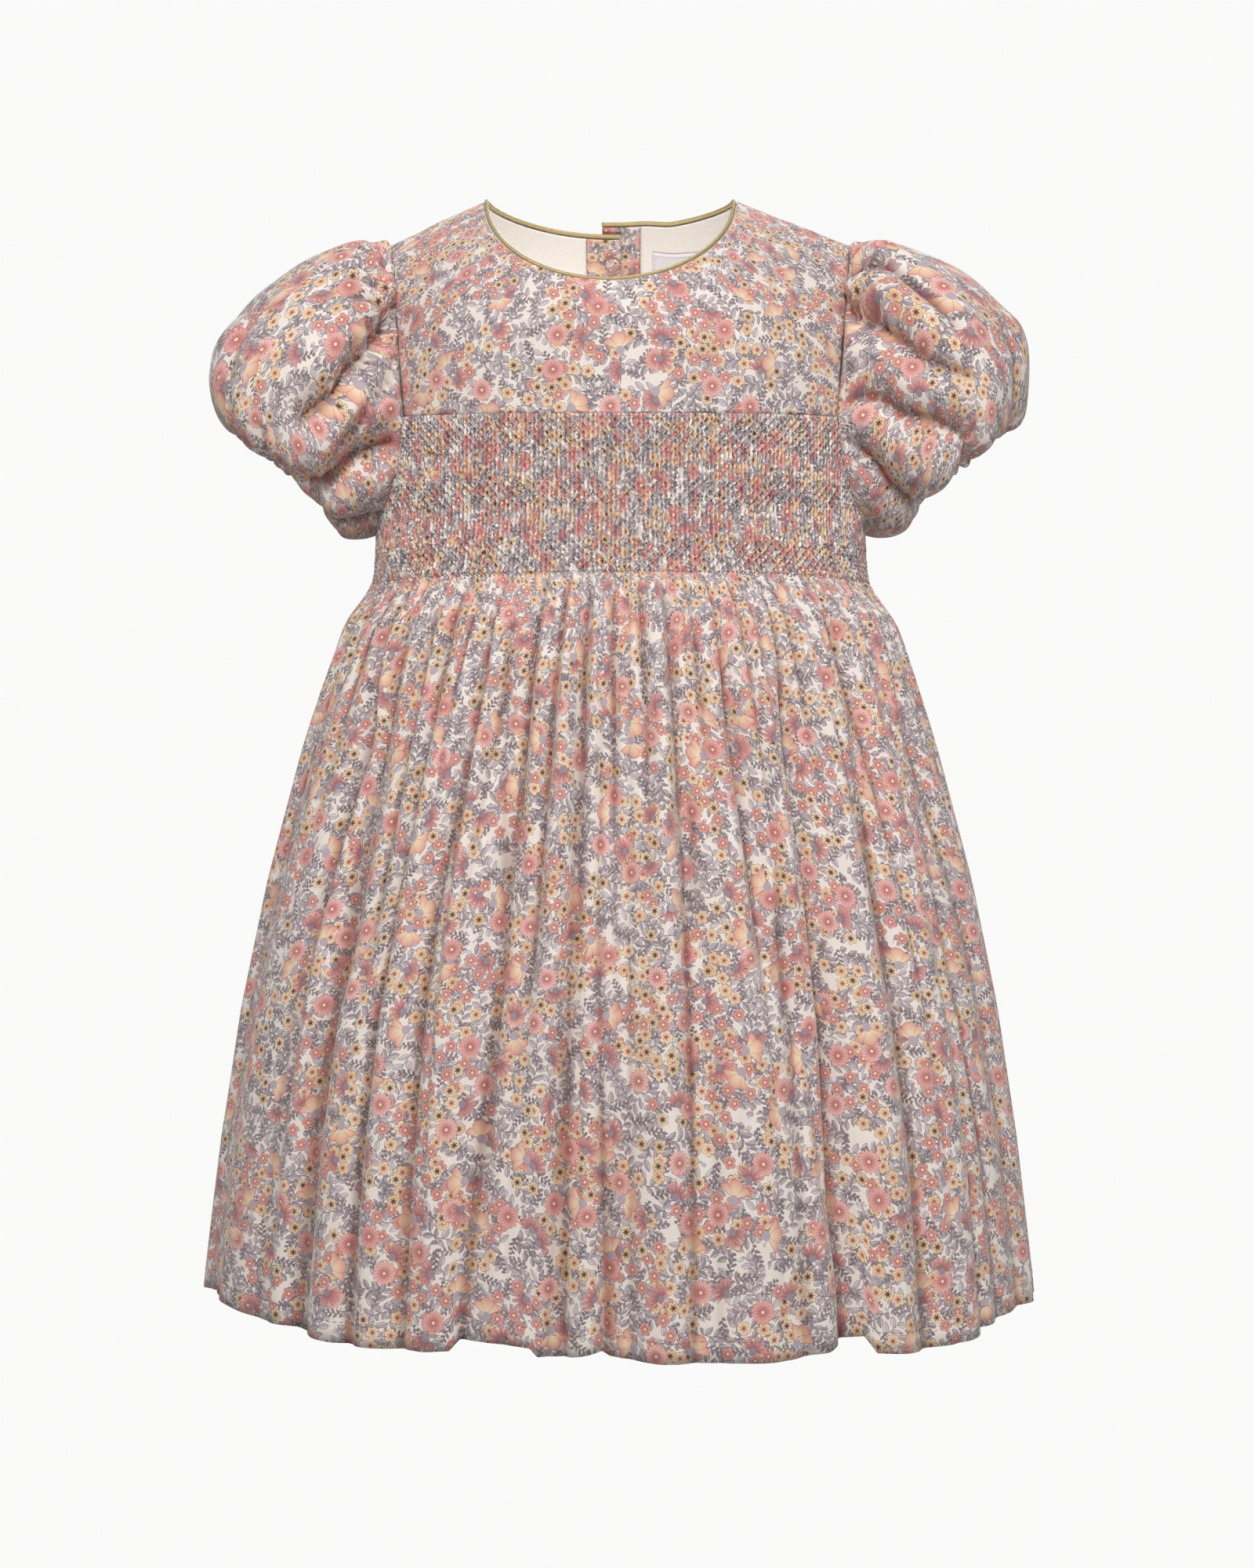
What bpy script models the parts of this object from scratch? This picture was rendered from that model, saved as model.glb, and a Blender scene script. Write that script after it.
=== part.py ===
"""Child's puff-sleeved dress with a smocked chest, in the shape it has when worn.

Metres, +Z up, the front faces -Y and +X is the right-hand side of the picture.
The origin lies level with the shoulders that hold the dress up.
Every piece of cloth is a wall with an outer face and an inner face.
"""
import math
from collections import namedtuple

import bmesh
import bpy
from mathutils import Vector

COLLECTION_NAME = "smocked_dress"

# Walls and seams
WALL = 0.0012
INNER_LAYER = 0.0010
SEAM_GAP = 0.0003
HALF_GAP = SEAM_GAP / 2

# Shoulders and neck
NECK_CENTRE_X = -0.005
NECK_HALF_WIDTH = 0.060
NECK_POINT_Z = 0.012
FRONT_NECK_DROP = 0.0505
BACK_NECK_DROP = {-1: 0.0102, 1: 0.0072}
SHOULDER_TIP_X = 0.109
SHOULDER_TIP_Z = -0.009
NECK_CROWN = 0.012
SHOULDER_ROUND = 0.085
ROUND_POWER = 0.8
BACK_NECK_POWER = 0.65
BACK_SHARE = 0.95

# Armholes, chest seam and waist
CHEST_SEAM_Z = -0.0955
CHEST_SEAM_SAG = 0.0035
CHEST_SEAM_X = 0.100
UNDERARM_Z = -0.146
UNDERARM_X = 0.115
WAIST_Z = -0.170
HEM_Z = -0.507

# Rows and columns of the walls
YOKE_ROWS = 7
BAND_ROWS = 4
WAIST_ROWS = 2
SHOULDER_COLUMNS = 4
NECK_COLUMNS = 14
FRONT_SKIRT_COLUMNS = 72
BACK_SKIRT_COLUMNS = 52
SKIRT_ROWS = 11
BAND_INNER_COLUMNS = 36
ARC_SAMPLES = 240
SLOPE_STEP = 0.004
SMOOTH_ANGLE = math.radians(40)
# Powers that draw rows and columns closer together at one end
YOKE_ROW_POWER = 1.5
SKIRT_ROW_POWER = 1.25
BACK_COLUMN_POWER = 1.25

# Smocking
REEDS = 92
REED_LEAN = 0.25

# Gathers below the smocking and the back waist seam
FRONT_GATHERS = 24
BACK_GATHERS = 20
GATHER_HEIGHT = 0.0011
GATHER_END_Z = -0.235
GATHER_UNEVENNESS = 2.0
GATHER_DRIFT = 5.0
BACK_GATHER_START = 0.004
FOLD_FADE = 0.060

# Centre-back opening: the right panel laps over the left one
LAP_EDGE_X = {-1: 0.0, 1: -0.009}
LAP_FLAT_X = 0.010
LAP_BLEND_X = 0.028
LAP_EASE = 0.0006
LAP_LIFT = WALL + 2 * SEAM_GAP + INNER_LAYER + LAP_EASE
BACK_SHOULDER_COLUMNS = 3
BACK_NECK_COLUMNS = 7
FACING_EDGE_X = {-1: -0.0168, 1: 0.0092}
LINING_INSET = 0.0010
LINING_DEPTH = WALL + SEAM_GAP
FACING_COLUMNS = 3

# Trim
CORD_RADIUS = 0.0010
CORD_GAP = 0.0004
LABEL_LEFT_X = 0.0156
LABEL_RIGHT_X = 0.0440
LABEL_TOP_Z = -0.0075
LABEL_BOTTOM_Z = -0.0270
LABEL_COLUMNS = 6
LABEL_ROWS = 4
LABEL_THICKNESS = 0.0008
BUTTON_RADIUS = 0.0055
BUTTON_HEIGHT = 0.0024
BUTTON_BEVEL = 0.0007
BUTTON_SIDES = 16
BUTTON_X = -0.0045
BUTTON_LEVELS = (-0.014, -0.082, -0.150)
COVERED_BUTTON_RADIUS = 0.0034
COVERED_BUTTON_HEIGHT = 0.0020
COVERED_BUTTON_X = -0.0042
COVERED_BUTTON_Z = -0.0072

# Sleeves
SLEEVE_SPLIT = 2
CAP_GATHER_START = 0.72
CAP_GATHER_RUN = 1.2
CAP_RINGS = 4
SLEEVE_MIDDLE = (0.150, -0.080)
SLEEVE_BODY_RINGS = (2, 7)
FOLD_ENDS = (0.15, 0.85)
NECK_MIDDLE_RISE = 0.03
TINY = 0.00001
LEAST_ROUNDING = 0.02

BodyRow = namedtuple("BodyRow", "z half_width half_depth squareness")
BODY = (
    BodyRow(0.020, 0.1150, 0.080, 2.00),
    BodyRow(-0.146, 0.1150, 0.080, 2.00),
    BodyRow(-0.170, 0.1165, 0.083, 2.05),
    BodyRow(-0.190, 0.1295, 0.097, 2.10),
    BodyRow(-0.220, 0.1390, 0.109, 2.15),
    BodyRow(-0.250, 0.1480, 0.118, 2.20),
    BodyRow(-0.310, 0.1635, 0.131, 2.30),
    BodyRow(-0.369, 0.1755, 0.141, 2.40),
    BodyRow(-0.429, 0.1845, 0.147, 2.45),
    BodyRow(-0.507, 0.1930, 0.150, 2.45),
)

# Folds of the skirt: degrees round from the front centre towards +X
ANGLE_LEVELS = (-0.190, -0.340, -0.507)
Fold = namedtuple("Fold", "top middle hem start_z end_z depth width")
FOLDS = (
    Fold(-58, -53, -54, -0.195, -0.60, 0.010, 6.0),
    Fold(-47, -46, -47, -0.180, -0.38, 0.007, 5.0),
    Fold(-27, -22, -26, -0.185, -0.60, 0.009, 4.5),
    Fold(-15, -16, -18, -0.200, -0.38, 0.006, 3.8),
    Fold(-10, -10, -12, -0.340, -0.60, 0.007, 4.0),
    Fold(-4, -4, -2, -0.190, -0.60, 0.012, 4.2),
    Fold(12, 3, 3, -0.180, -0.26, 0.004, 4.0),
    Fold(19, 13, 12, -0.200, -0.60, 0.004, 5.5),
    Fold(24, 26, 26, -0.190, -0.38, 0.006, 4.0),
    Fold(38, 37, 37, -0.200, -0.60, 0.012, 5.0),
    Fold(29, 31, 37, -0.290, -0.49, 0.007, 4.0),
    Fold(70, 65, 66, -0.195, -0.60, 0.009, 6.0),
    Fold(112, 114, 113, -0.200, -0.60, 0.010, 6.0),
    Fold(131, 129, 128, -0.185, -0.37, 0.006, 5.0),
    Fold(143, 147, 149, -0.200, -0.60, 0.011, 5.0),
    Fold(161, 164, 163, -0.190, -0.60, 0.007, 4.5),
    Fold(178, 180, 183, -0.185, -0.60, 0.011, 4.5),
    Fold(196, 193, 191, -0.200, -0.40, 0.006, 4.5),
    Fold(210, 213, 215, -0.190, -0.60, 0.010, 5.0),
    Fold(231, 228, 227, -0.200, -0.60, 0.007, 5.0),
    Fold(246, 249, 251, -0.195, -0.60, 0.010, 6.0),
)

# Height of the reeds on each row of the smocked band, and where its stitches draw them together
SmockRow = namedtuple("SmockRow", "crest lean")
SMOCKING = (
    SmockRow(0.0004, 0),
    SmockRow(0.0009, 1),
    SmockRow(0.0012, 0),
    SmockRow(0.0008, -1),
    SmockRow(0.0012, 0),
    SmockRow(0.0008, 1),
    SmockRow(0.0011, 0),
)

# Sections of the puffed sleeve, from the armhole to the elastic edge that is tucked up inside
# right_more is what the right sleeve stands out further than the left one
SleeveRing = namedtuple("SleeveRing", "top_x right_more top_z low_x low_z half_depth gather")
SLEEVE = (
    SleeveRing(0.1220, 0.000, -0.0085, 0.1200, -0.1475, 0.050, 0.0016),
    SleeveRing(0.1380, 0.002, -0.0120, 0.1255, -0.1478, 0.057, 0.0013),
    SleeveRing(0.1560, 0.004, -0.0210, 0.1310, -0.1468, 0.062, 0.0009),
    SleeveRing(0.1735, 0.004, -0.0355, 0.1345, -0.1442, 0.064, 0.0005),
    SleeveRing(0.1880, 0.001, -0.0525, 0.1372, -0.1405, 0.063, 0.0003),
    SleeveRing(0.1942, -0.003, -0.0715, 0.1388, -0.1370, 0.060, 0.0004),
    SleeveRing(0.1915, -0.002, -0.0880, 0.1392, -0.1332, 0.054, 0.0008),
    SleeveRing(0.1835, 0.000, -0.0960, 0.1380, -0.1300, 0.045, 0.0011),
    SleeveRing(0.1750, 0.000, -0.0935, 0.1360, -0.1268, 0.034, 0.0008),
)
# Folds of a sleeve: turn is 0 at the shoulder, 0.25 in front, 0.5 under the arm and 0.75 behind
SleeveFold = namedtuple("SleeveFold", "side turn_start turn_end first last depth width")
SLEEVE_FOLDS = (
    SleeveFold(-1, 0.17, 0.30, 0, 5, 0.0060, 0.034),
    SleeveFold(-1, 0.31, 0.40, 1, 6, 0.0050, 0.032),
    SleeveFold(-1, 0.08, 0.13, 2, 7, 0.0035, 0.030),
    SleeveFold(-1, 0.66, 0.60, 1, 6, 0.0050, 0.035),
    SleeveFold(-1, 0.82, 0.76, 0, 5, 0.0055, 0.035),
    SleeveFold(1, 0.05, 0.10, 0, 4, 0.0040, 0.030),
    SleeveFold(1, 0.17, 0.22, 0, 5, 0.0065, 0.034),
    SleeveFold(1, 0.32, 0.36, 1, 6, 0.0050, 0.032),
    SleeveFold(1, 0.68, 0.62, 1, 6, 0.0050, 0.035),
    SleeveFold(1, 0.84, 0.78, 0, 5, 0.0055, 0.035),
)

Finish = namedtuple("Finish", "colour roughness metallic")
FINISHES = {
    "floral_cotton": Finish((0.50, 0.39, 0.35), 0.85, 0.0),
    "white_cotton": Finish((0.84, 0.81, 0.77), 0.85, 0.0),
    "gold_cord": Finish((0.56, 0.43, 0.22), 0.40, 0.7),
    "label_tape": Finish((0.72, 0.71, 0.75), 0.75, 0.0),
    "button_shell": Finish((0.80, 0.76, 0.68), 0.30, 0.0),
}


def clamp(value):
    return max(0.0, min(1.0, value))


def ease(value):
    value = clamp(value)
    return value * value * (3 - 2 * value)


def mix(first, second, share):
    return first + (second - first) * share


def body_row(z):
    """Half width, half depth and squareness of the body's section at a height."""
    for above, below in zip(BODY, BODY[1:]):
        if z >= below.z:
            share = clamp((above.z - z) / (above.z - below.z))
            return tuple(mix(above[i], below[i], share) for i in (1, 2, 3))
    return tuple(BODY[-1][1:])


def shoulder_height(x):
    """Height of the ridge from one shoulder tip over the neck to the other."""
    across = abs(x - NECK_CENTRE_X) / NECK_HALF_WIDTH
    if across <= 1:
        return NECK_POINT_Z + NECK_CROWN * (1 - across * across)
    neck_point_x = NECK_HALF_WIDTH + math.copysign(NECK_CENTRE_X, x * NECK_CENTRE_X)
    share = (abs(x) - neck_point_x) / (SHOULDER_TIP_X - neck_point_x)
    return mix(NECK_POINT_Z, SHOULDER_TIP_Z, share)


def chest_depth(x, z):
    """Distance of the chest from the plane of the shoulders."""
    half_width, half_depth, squareness = body_row(z)
    below_ridge = clamp((shoulder_height(x) - z) / SHOULDER_ROUND)
    rounding = math.sin(below_ridge * math.pi / 2) ** ROUND_POWER
    spread = max(0.0, 1 - (abs(x) / half_width) ** squareness)
    return half_depth * rounding * spread ** (1 / squareness)


def chest_point(x, z, facing):
    """Point of the body above the waist: facing is -1 for the front and 1 for the back."""
    share = BACK_SHARE if facing > 0 else 1.0
    return Vector((x, facing * share * chest_depth(x, z), z))


def chest_normal(point, facing):
    """Outward direction there, from the slope of the section's formula."""
    def level(x, y, z):
        half_width, half_depth, squareness = body_row(z)
        share = BACK_SHARE if facing > 0 else 1.0
        below_ridge = clamp((shoulder_height(x) - z) / SHOULDER_ROUND)
        rounding = max(math.sin(below_ridge * math.pi / 2) ** ROUND_POWER, LEAST_ROUNDING)
        across = (abs(x) / half_width) ** squareness
        return across + (abs(y) / (half_depth * rounding * share)) ** squareness

    x, y, z = point
    if shoulder_height(x) - z < 2 * TINY:
        slope = (shoulder_height(x + TINY) - shoulder_height(x - TINY)) / (2 * TINY)
        return Vector((-slope, 0.0, 1.0)).normalized()
    step = TINY / 2
    return Vector((
        level(x + step, y, z) - level(x - step, y, z),
        level(x, y + step, z) - level(x, y - step, z),
        level(x, y, z + step) - level(x, y, z - step),
    )).normalized()


def armhole_x(z):
    """Half width between the armhole seams at a height."""
    if z >= CHEST_SEAM_Z:
        share = (z - CHEST_SEAM_Z) / (SHOULDER_TIP_Z - CHEST_SEAM_Z)
        return mix(CHEST_SEAM_X, SHOULDER_TIP_X, share)
    share = clamp((CHEST_SEAM_Z - z) / (CHEST_SEAM_Z - UNDERARM_Z))
    return mix(CHEST_SEAM_X, UNDERARM_X, share ** 2)


def yoke_share(row):
    """Rows lie closer together towards the rounded shoulder."""
    return 1 - (1 - row / YOKE_ROWS) ** YOKE_ROW_POWER


def armhole_levels():
    """Heights of the rows that end on the armhole, from the underarm up to the shoulder tip."""
    low = [mix(UNDERARM_Z, CHEST_SEAM_Z, row / BAND_ROWS) for row in range(BAND_ROWS)]
    high = [
        mix(CHEST_SEAM_Z, SHOULDER_TIP_Z, yoke_share(row)) for row in range(YOKE_ROWS + 1)
    ]
    return low + high


def armhole_turns(side):
    """The armhole seam: points and normals from the shoulder tip down the front and up the back."""
    levels = armhole_levels()
    route = [(-1, z) for z in reversed(levels)] + [(1, z) for z in levels[1:-1]]
    points = []
    normals = []
    for facing, z in route:
        point = chest_point(side * armhole_x(z), z, facing)
        if z == UNDERARM_Z:
            point = Vector((side * UNDERARM_X, 0.0, z))
        if z == SHOULDER_TIP_Z:
            point = Vector((side * SHOULDER_TIP_X, 0.0, z))
        points.append(point)
        normals.append(chest_normal(point, facing))
    return points, normals


def section_radius(angle, z):
    half_width, half_depth, squareness = body_row(z)
    across = (abs(math.sin(angle)) / half_width) ** squareness
    deep = (abs(math.cos(angle)) / half_depth) ** squareness
    return (across + deep) ** (-1 / squareness)


def even_angles(z, first, last, count):
    """Angles that share the section between two angles into runs of equal length."""
    angles = [mix(first, last, i / ARC_SAMPLES) for i in range(ARC_SAMPLES + 1)]
    spots = [
        Vector((math.sin(a), math.cos(a))) * section_radius(a, z) for a in angles
    ]
    reach = [0.0]
    for before, after in zip(spots, spots[1:]):
        reach.append(reach[-1] + (after - before).length)
    result = []
    i = 0
    for step in range(count + 1):
        wanted = reach[-1] * step / count
        while i < ARC_SAMPLES - 1 and reach[i + 1] < wanted:
            i += 1
        share = clamp((wanted - reach[i]) / (reach[i + 1] - reach[i]))
        result.append(mix(angles[i], angles[i + 1], share))
    return result


def fold_angle(fold, z):
    top_z, middle_z, hem_z = ANGLE_LEVELS
    if z >= middle_z:
        return mix(fold.top, fold.middle, clamp((top_z - z) / (top_z - middle_z)))
    return mix(fold.middle, fold.hem, clamp((middle_z - z) / (middle_z - hem_z)))


def trough_depth(angle, z):
    """How far the broad folds push the cloth in."""
    degrees = math.degrees(angle)
    total = 0.0
    for fold in FOLDS:
        away = (degrees - fold_angle(fold, z) + 180) % 360 - 180
        strength = ease((fold.start_z - z) / FOLD_FADE)
        strength *= ease((z - fold.end_z) / FOLD_FADE)
        total += fold.depth * strength * math.exp(-((away / fold.width) ** 2))
    return total


def gather_height(turn, count, z):
    """Small gathers that fade out below the seam: turn runs from 0 to 1 over one panel."""
    strength = 1 - ease((WAIST_Z - z) / (WAIST_Z - GATHER_END_Z))
    wave = math.sin(2 * math.pi * count * turn + GATHER_UNEVENNESS * math.sin(GATHER_DRIFT * turn))
    return GATHER_HEIGHT * strength * wave


def skirt_point(angle, z, extra=0.0):
    radius = section_radius(angle, z) - trough_depth(angle, z) + extra
    return Vector((radius * math.sin(angle), -radius * math.cos(angle), z))


def skirt_normal(angle, z):
    step = SLOPE_STEP
    along = skirt_point(angle + step, z) - skirt_point(angle - step, z)
    down = skirt_point(angle, z - step) - skirt_point(angle, z + step)
    return down.cross(along).normalized()


def grid_normals(rows, closed):
    """Outward directions of a grid of points whose rows run round and whose columns run out."""
    normals = []
    last_row = len(rows) - 1
    for i, row in enumerate(rows):
        count = len(row)
        line = []
        for j in range(count):
            ahead = row[(j + 1) % count] if closed else row[min(j + 1, count - 1)]
            behind = row[j - 1] if closed else row[max(j - 1, 0)]
            outward = rows[min(i + 1, last_row)][j] - rows[max(i - 1, 0)][j]
            line.append(outward.cross(ahead - behind).normalized())
        normals.append(line)
    return normals


def zip_runs(mesh, first, second):
    """Fill the strip between two runs of vertices, whose counts may differ."""
    i = 0
    j = 0
    while i < len(first) - 1 or j < len(second) - 1:
        next_first = (i + 1) / (len(first) - 1) if i < len(first) - 1 else 2.0
        next_second = (j + 1) / (len(second) - 1) if j < len(second) - 1 else 2.0
        if abs(next_first - next_second) < 1e-6:
            mesh.faces.new((first[i], first[i + 1], second[j]))
            mesh.faces.new((first[i + 1], second[j + 1], second[j]))
            i += 1
            j += 1
        elif next_first < next_second:
            mesh.faces.new((first[i], first[i + 1], second[j]))
            i += 1
        else:
            mesh.faces.new((first[i], second[j + 1], second[j]))
            j += 1


def add_object(name, mesh, finish):
    data = bpy.data.meshes.new(name)
    mesh.to_mesh(data)
    mesh.free()
    data.materials.append(material(finish))
    data.shade_smooth()
    data.set_sharp_from_angle(angle=SMOOTH_ANGLE)
    piece = bpy.data.objects.new(name, data)
    collection().objects.link(piece)
    return piece


def cloth_wall(name, outer, inner, finish, closed=False):
    """A wall between rows of outer points and rows of inner points."""
    mesh = bmesh.new()
    faces = []
    for rows in (outer, inner):
        made = [[mesh.verts.new(point) for point in row] for row in rows]
        if closed:
            made = [row + row[:1] for row in made]
        faces.append(made)
        for above, below in zip(made, made[1:]):
            zip_runs(mesh, above, below)
    outside, inside = faces
    zip_runs(mesh, outside[0], inside[0])
    zip_runs(mesh, outside[-1], inside[-1])
    if not closed:
        for end in (0, -1):
            zip_runs(mesh, [row[end] for row in outside], [row[end] for row in inside])
    bmesh.ops.recalc_face_normals(mesh, faces=mesh.faces)
    return add_object(name, mesh, finish)


def moved_in(rows, normals, distance):
    return [
        [point - normal * distance for point, normal in zip(row, line)]
        for row, line in zip(rows, normals)
    ]


def material(name):
    made = bpy.data.materials.get(name)
    if made is None:
        made = bpy.data.materials.new(name)
        made.use_nodes = True
        shader = made.node_tree.nodes["Principled BSDF"]
        finish = FINISHES[name]
        shader.inputs["Base Color"].default_value = (*finish.colour, 1.0)
        shader.inputs["Roughness"].default_value = finish.roughness
        shader.inputs["Metallic"].default_value = finish.metallic
        made.diffuse_color = (*finish.colour, 1.0)
    return made


def collection():
    made = bpy.data.collections.get(COLLECTION_NAME)
    if made is None:
        made = bpy.data.collections.new(COLLECTION_NAME)
        bpy.context.scene.collection.children.link(made)
    return made


def front_neck(turn):
    """Front neck edge: turn is 0 at the left neck point and 1 at the right one."""
    angle = math.pi * turn
    x = NECK_CENTRE_X - NECK_HALF_WIDTH * math.cos(angle)
    return x, NECK_POINT_Z - FRONT_NECK_DROP * math.sin(angle)


def back_neck_z(x, side):
    across = clamp(abs(x - NECK_CENTRE_X) / NECK_HALF_WIDTH)
    return NECK_POINT_Z - BACK_NECK_DROP[side] * (1 - across * across) ** BACK_NECK_POWER


def front_rows():
    """Points and normals of the front yoke, from the chest seam up to neck and shoulders."""
    left_neck_x = NECK_CENTRE_X - NECK_HALF_WIDTH
    right_neck_x = NECK_CENTRE_X + NECK_HALF_WIDTH
    shares = [i / SHOULDER_COLUMNS for i in range(SHOULDER_COLUMNS)]
    tops = [mix(-SHOULDER_TIP_X, left_neck_x, share) for share in shares]
    tops = [(x, shoulder_height(x)) for x in tops]
    tops += [front_neck(i / NECK_COLUMNS) for i in range(NECK_COLUMNS + 1)]
    rights = [mix(SHOULDER_TIP_X, right_neck_x, share) for share in reversed(shares)]
    tops += [(x, shoulder_height(x)) for x in rights]
    rows = []
    normals = []
    for row in range(YOKE_ROWS + 1):
        share = yoke_share(row)
        line = []
        directions = []
        for top_x, top_z in tops:
            low_x = top_x * CHEST_SEAM_X / SHOULDER_TIP_X
            low_z = CHEST_SEAM_Z - CHEST_SEAM_SAG * (1 - (low_x / CHEST_SEAM_X) ** 2)
            x = mix(low_x, top_x, share)
            point = chest_point(x, mix(low_z + HALF_GAP, top_z, share), -1)
            directions.append(chest_normal(point, -1))
            if shoulder_height(point.x) - point.z < 2 * TINY:
                point.y -= HALF_GAP
            line.append(point)
        rows.append(line)
        normals.append(directions)
    return rows, normals


def make_front_yoke():
    """The plain chest piece above the smocking, up to the neck and both shoulder seams."""
    outer, normals = front_rows()
    return cloth_wall(
        "yoke_front", outer, moved_in(outer, normals, WALL), "floral_cotton"
    )


def band_edge_angle(z):
    """Angle at which the smocked band ends on the armhole or the side seam."""
    if z <= UNDERARM_Z:
        return math.pi / 2 - HALF_GAP / UNDERARM_X
    x = armhole_x(z)
    return math.atan2(x, chest_depth(x, z))


def make_front_panel():
    """One piece of cloth: the smocked band over the chest and the full skirt below it."""
    levels = armhole_levels()[: BAND_ROWS + 1]
    levels.reverse()
    levels += [mix(UNDERARM_Z, WAIST_Z, i / WAIST_ROWS) for i in range(1, WAIST_ROWS + 1)]
    outer = []
    inner = []
    for level, smock in zip(levels, SMOCKING):
        edge = band_edge_angle(level)
        sag = CHEST_SEAM_SAG * clamp((level - WAIST_Z) / (CHEST_SEAM_Z - WAIST_Z))
        for rows, columns in ((outer, 2 * REEDS), (inner, BAND_INNER_COLUMNS)):
            line = []
            for i, angle in enumerate(even_angles(level, -edge, edge, columns)):
                z = level - sag * (1 - (angle / edge) ** 2)
                if level == levels[0]:
                    z -= HALF_GAP
                if columns == BAND_INNER_COLUMNS:
                    line.append(skirt_point(angle, z) - skirt_normal(angle, z) * WALL)
                    continue
                crest = 0.0
                if i % 2:
                    crest = smock.crest
                    way = 1 if i % 4 == 1 else -1
                    angle += smock.lean * way * REED_LEAN * 2 * edge / columns
                line.append(skirt_point(angle, z) + skirt_normal(angle, z) * crest)
            rows.append(line)
    for row in range(1, SKIRT_ROWS + 1):
        share = (row / SKIRT_ROWS) ** SKIRT_ROW_POWER
        line = []
        inside = []
        z = mix(WAIST_Z, HEM_Z, share)
        edge = math.pi / 2 - HALF_GAP / section_radius(math.pi / 2, z)
        angles = even_angles(z, -edge, edge, FRONT_SKIRT_COLUMNS)
        for i, angle in enumerate(angles):
            turn = i / FRONT_SKIRT_COLUMNS
            height = gather_height(turn, FRONT_GATHERS, z) * math.sin(math.pi * turn)
            line.append(skirt_point(angle, z, height))
            inside.append(line[-1] - skirt_normal(angle, z) * WALL)
        outer.append(line)
        inner.append(inside)
    return cloth_wall("front_smocked_panel", outer, inner, "floral_cotton")


def make_back_skirt():
    """The gathered back of the skirt, below the waist seam."""
    outer = []
    inner = []
    for row in range(SKIRT_ROWS + 1):
        z = mix(WAIST_Z - SEAM_GAP, HEM_Z, (row / SKIRT_ROWS) ** SKIRT_ROW_POWER)
        edge = math.pi / 2 + HALF_GAP / section_radius(math.pi / 2, z)
        angles = even_angles(z, edge, 2 * math.pi - edge, BACK_SKIRT_COLUMNS)
        line = []
        inside = []
        for i, angle in enumerate(angles):
            turn = i / BACK_SKIRT_COLUMNS
            height = gather_height(turn, BACK_GATHERS, z) * math.sin(math.pi * turn)
            height *= ease((WAIST_Z - z) / BACK_GATHER_START)
            line.append(skirt_point(angle, z, height))
            inside.append(line[-1] - skirt_normal(angle, z) * WALL)
        outer.append(line)
        inner.append(inside)
    return cloth_wall("skirt_back", outer, inner, "floral_cotton")


def back_lift(x, side):
    """The right back panel rises over the left one where they lap."""
    if side < 0:
        return 0.0
    return LAP_LIFT * (1 - ease((x - LAP_FLAT_X) / (LAP_BLEND_X - LAP_FLAT_X)))


def back_rows(side):
    """Points and normals of one half of the back, from the waist up to neck and shoulder."""
    neck_x = NECK_CENTRE_X + side * NECK_HALF_WIDTH
    lap_x = LAP_EDGE_X[side]
    tops = [
        mix(side * SHOULDER_TIP_X, neck_x, i / BACK_SHOULDER_COLUMNS)
        for i in range(BACK_SHOULDER_COLUMNS)
    ]
    tops = [(x, shoulder_height(x)) for x in tops]
    for i in range(BACK_NECK_COLUMNS + 1):
        x = mix(neck_x, lap_x, (i / BACK_NECK_COLUMNS) ** BACK_COLUMN_POWER)
        tops.append((x, back_neck_z(x, side)))
    shares = [(x - lap_x) / (tops[0][0] - lap_x) for x, _ in tops]
    levels = [mix(WAIST_Z, UNDERARM_Z, i / WAIST_ROWS) for i in range(WAIST_ROWS)]
    levels += armhole_levels()
    rows = []
    normals = []
    for level in levels:
        rise = (level - WAIST_Z) / (SHOULDER_TIP_Z - WAIST_Z)
        half_width = armhole_x(level) if level >= UNDERARM_Z else body_row(level)[0]
        line = []
        directions = []
        for (_, top_z), share in zip(tops, shares):
            z = mix(WAIST_Z, top_z, rise)
            x = mix(lap_x, side * half_width, share)
            point = chest_point(x, z, 1)
            normal = chest_normal(point, 1)
            if shoulder_height(x) - z < 2 * TINY or point.y < HALF_GAP:
                point.y = HALF_GAP
            line.append(point + normal * back_lift(x, side))
            directions.append(normal)
        rows.append(line)
        normals.append(directions)
    return rows, normals


def make_back_bodice(name, side):
    outer, normals = back_rows(side)
    return cloth_wall(name, outer, moved_in(outer, normals, WALL), "floral_cotton")


def layer_rows(side, distance):
    """Rows of one half of the back, moved in and drawn down a little at their top."""
    rows = moved_in(*back_rows(side), distance)
    top = []
    for last, before in zip(rows[-1], rows[-2]):
        top.append(last.lerp(before, LINING_INSET / (last - before).length))
    return rows[:-1] + [top]


def spot_on_row(line, x):
    """Point on one row of a grid, at a value of x."""
    for first, second in zip(line, line[1:]):
        if min(first.x, second.x) <= x <= max(first.x, second.x):
            return first.lerp(second, (x - first.x) / (second.x - first.x))
    return line[-1].copy()


def spot_on_grid(rows, x, z):
    """Point on a grid, at values of x and z."""
    ladder = [spot_on_row(line, x) for line in rows]
    for low, high in zip(ladder, ladder[1:]):
        if z <= high.z:
            return low.lerp(high, (z - low.z) / (high.z - low.z))
    return ladder[-1]


def make_facing(name, side):
    """The printed strip that backs each edge of the opening."""
    lap_x = LAP_EDGE_X[side] + side * SEAM_GAP
    spots = [mix(lap_x, FACING_EDGE_X[side], i / FACING_COLUMNS) for i in range(FACING_COLUMNS + 1)]
    layers = [
        [[spot_on_row(line, x) for x in spots] for line in layer_rows(side, distance)]
        for distance in (LINING_DEPTH, LINING_DEPTH + INNER_LAYER)
    ]
    return cloth_wall(name, *layers, "floral_cotton")


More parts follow.
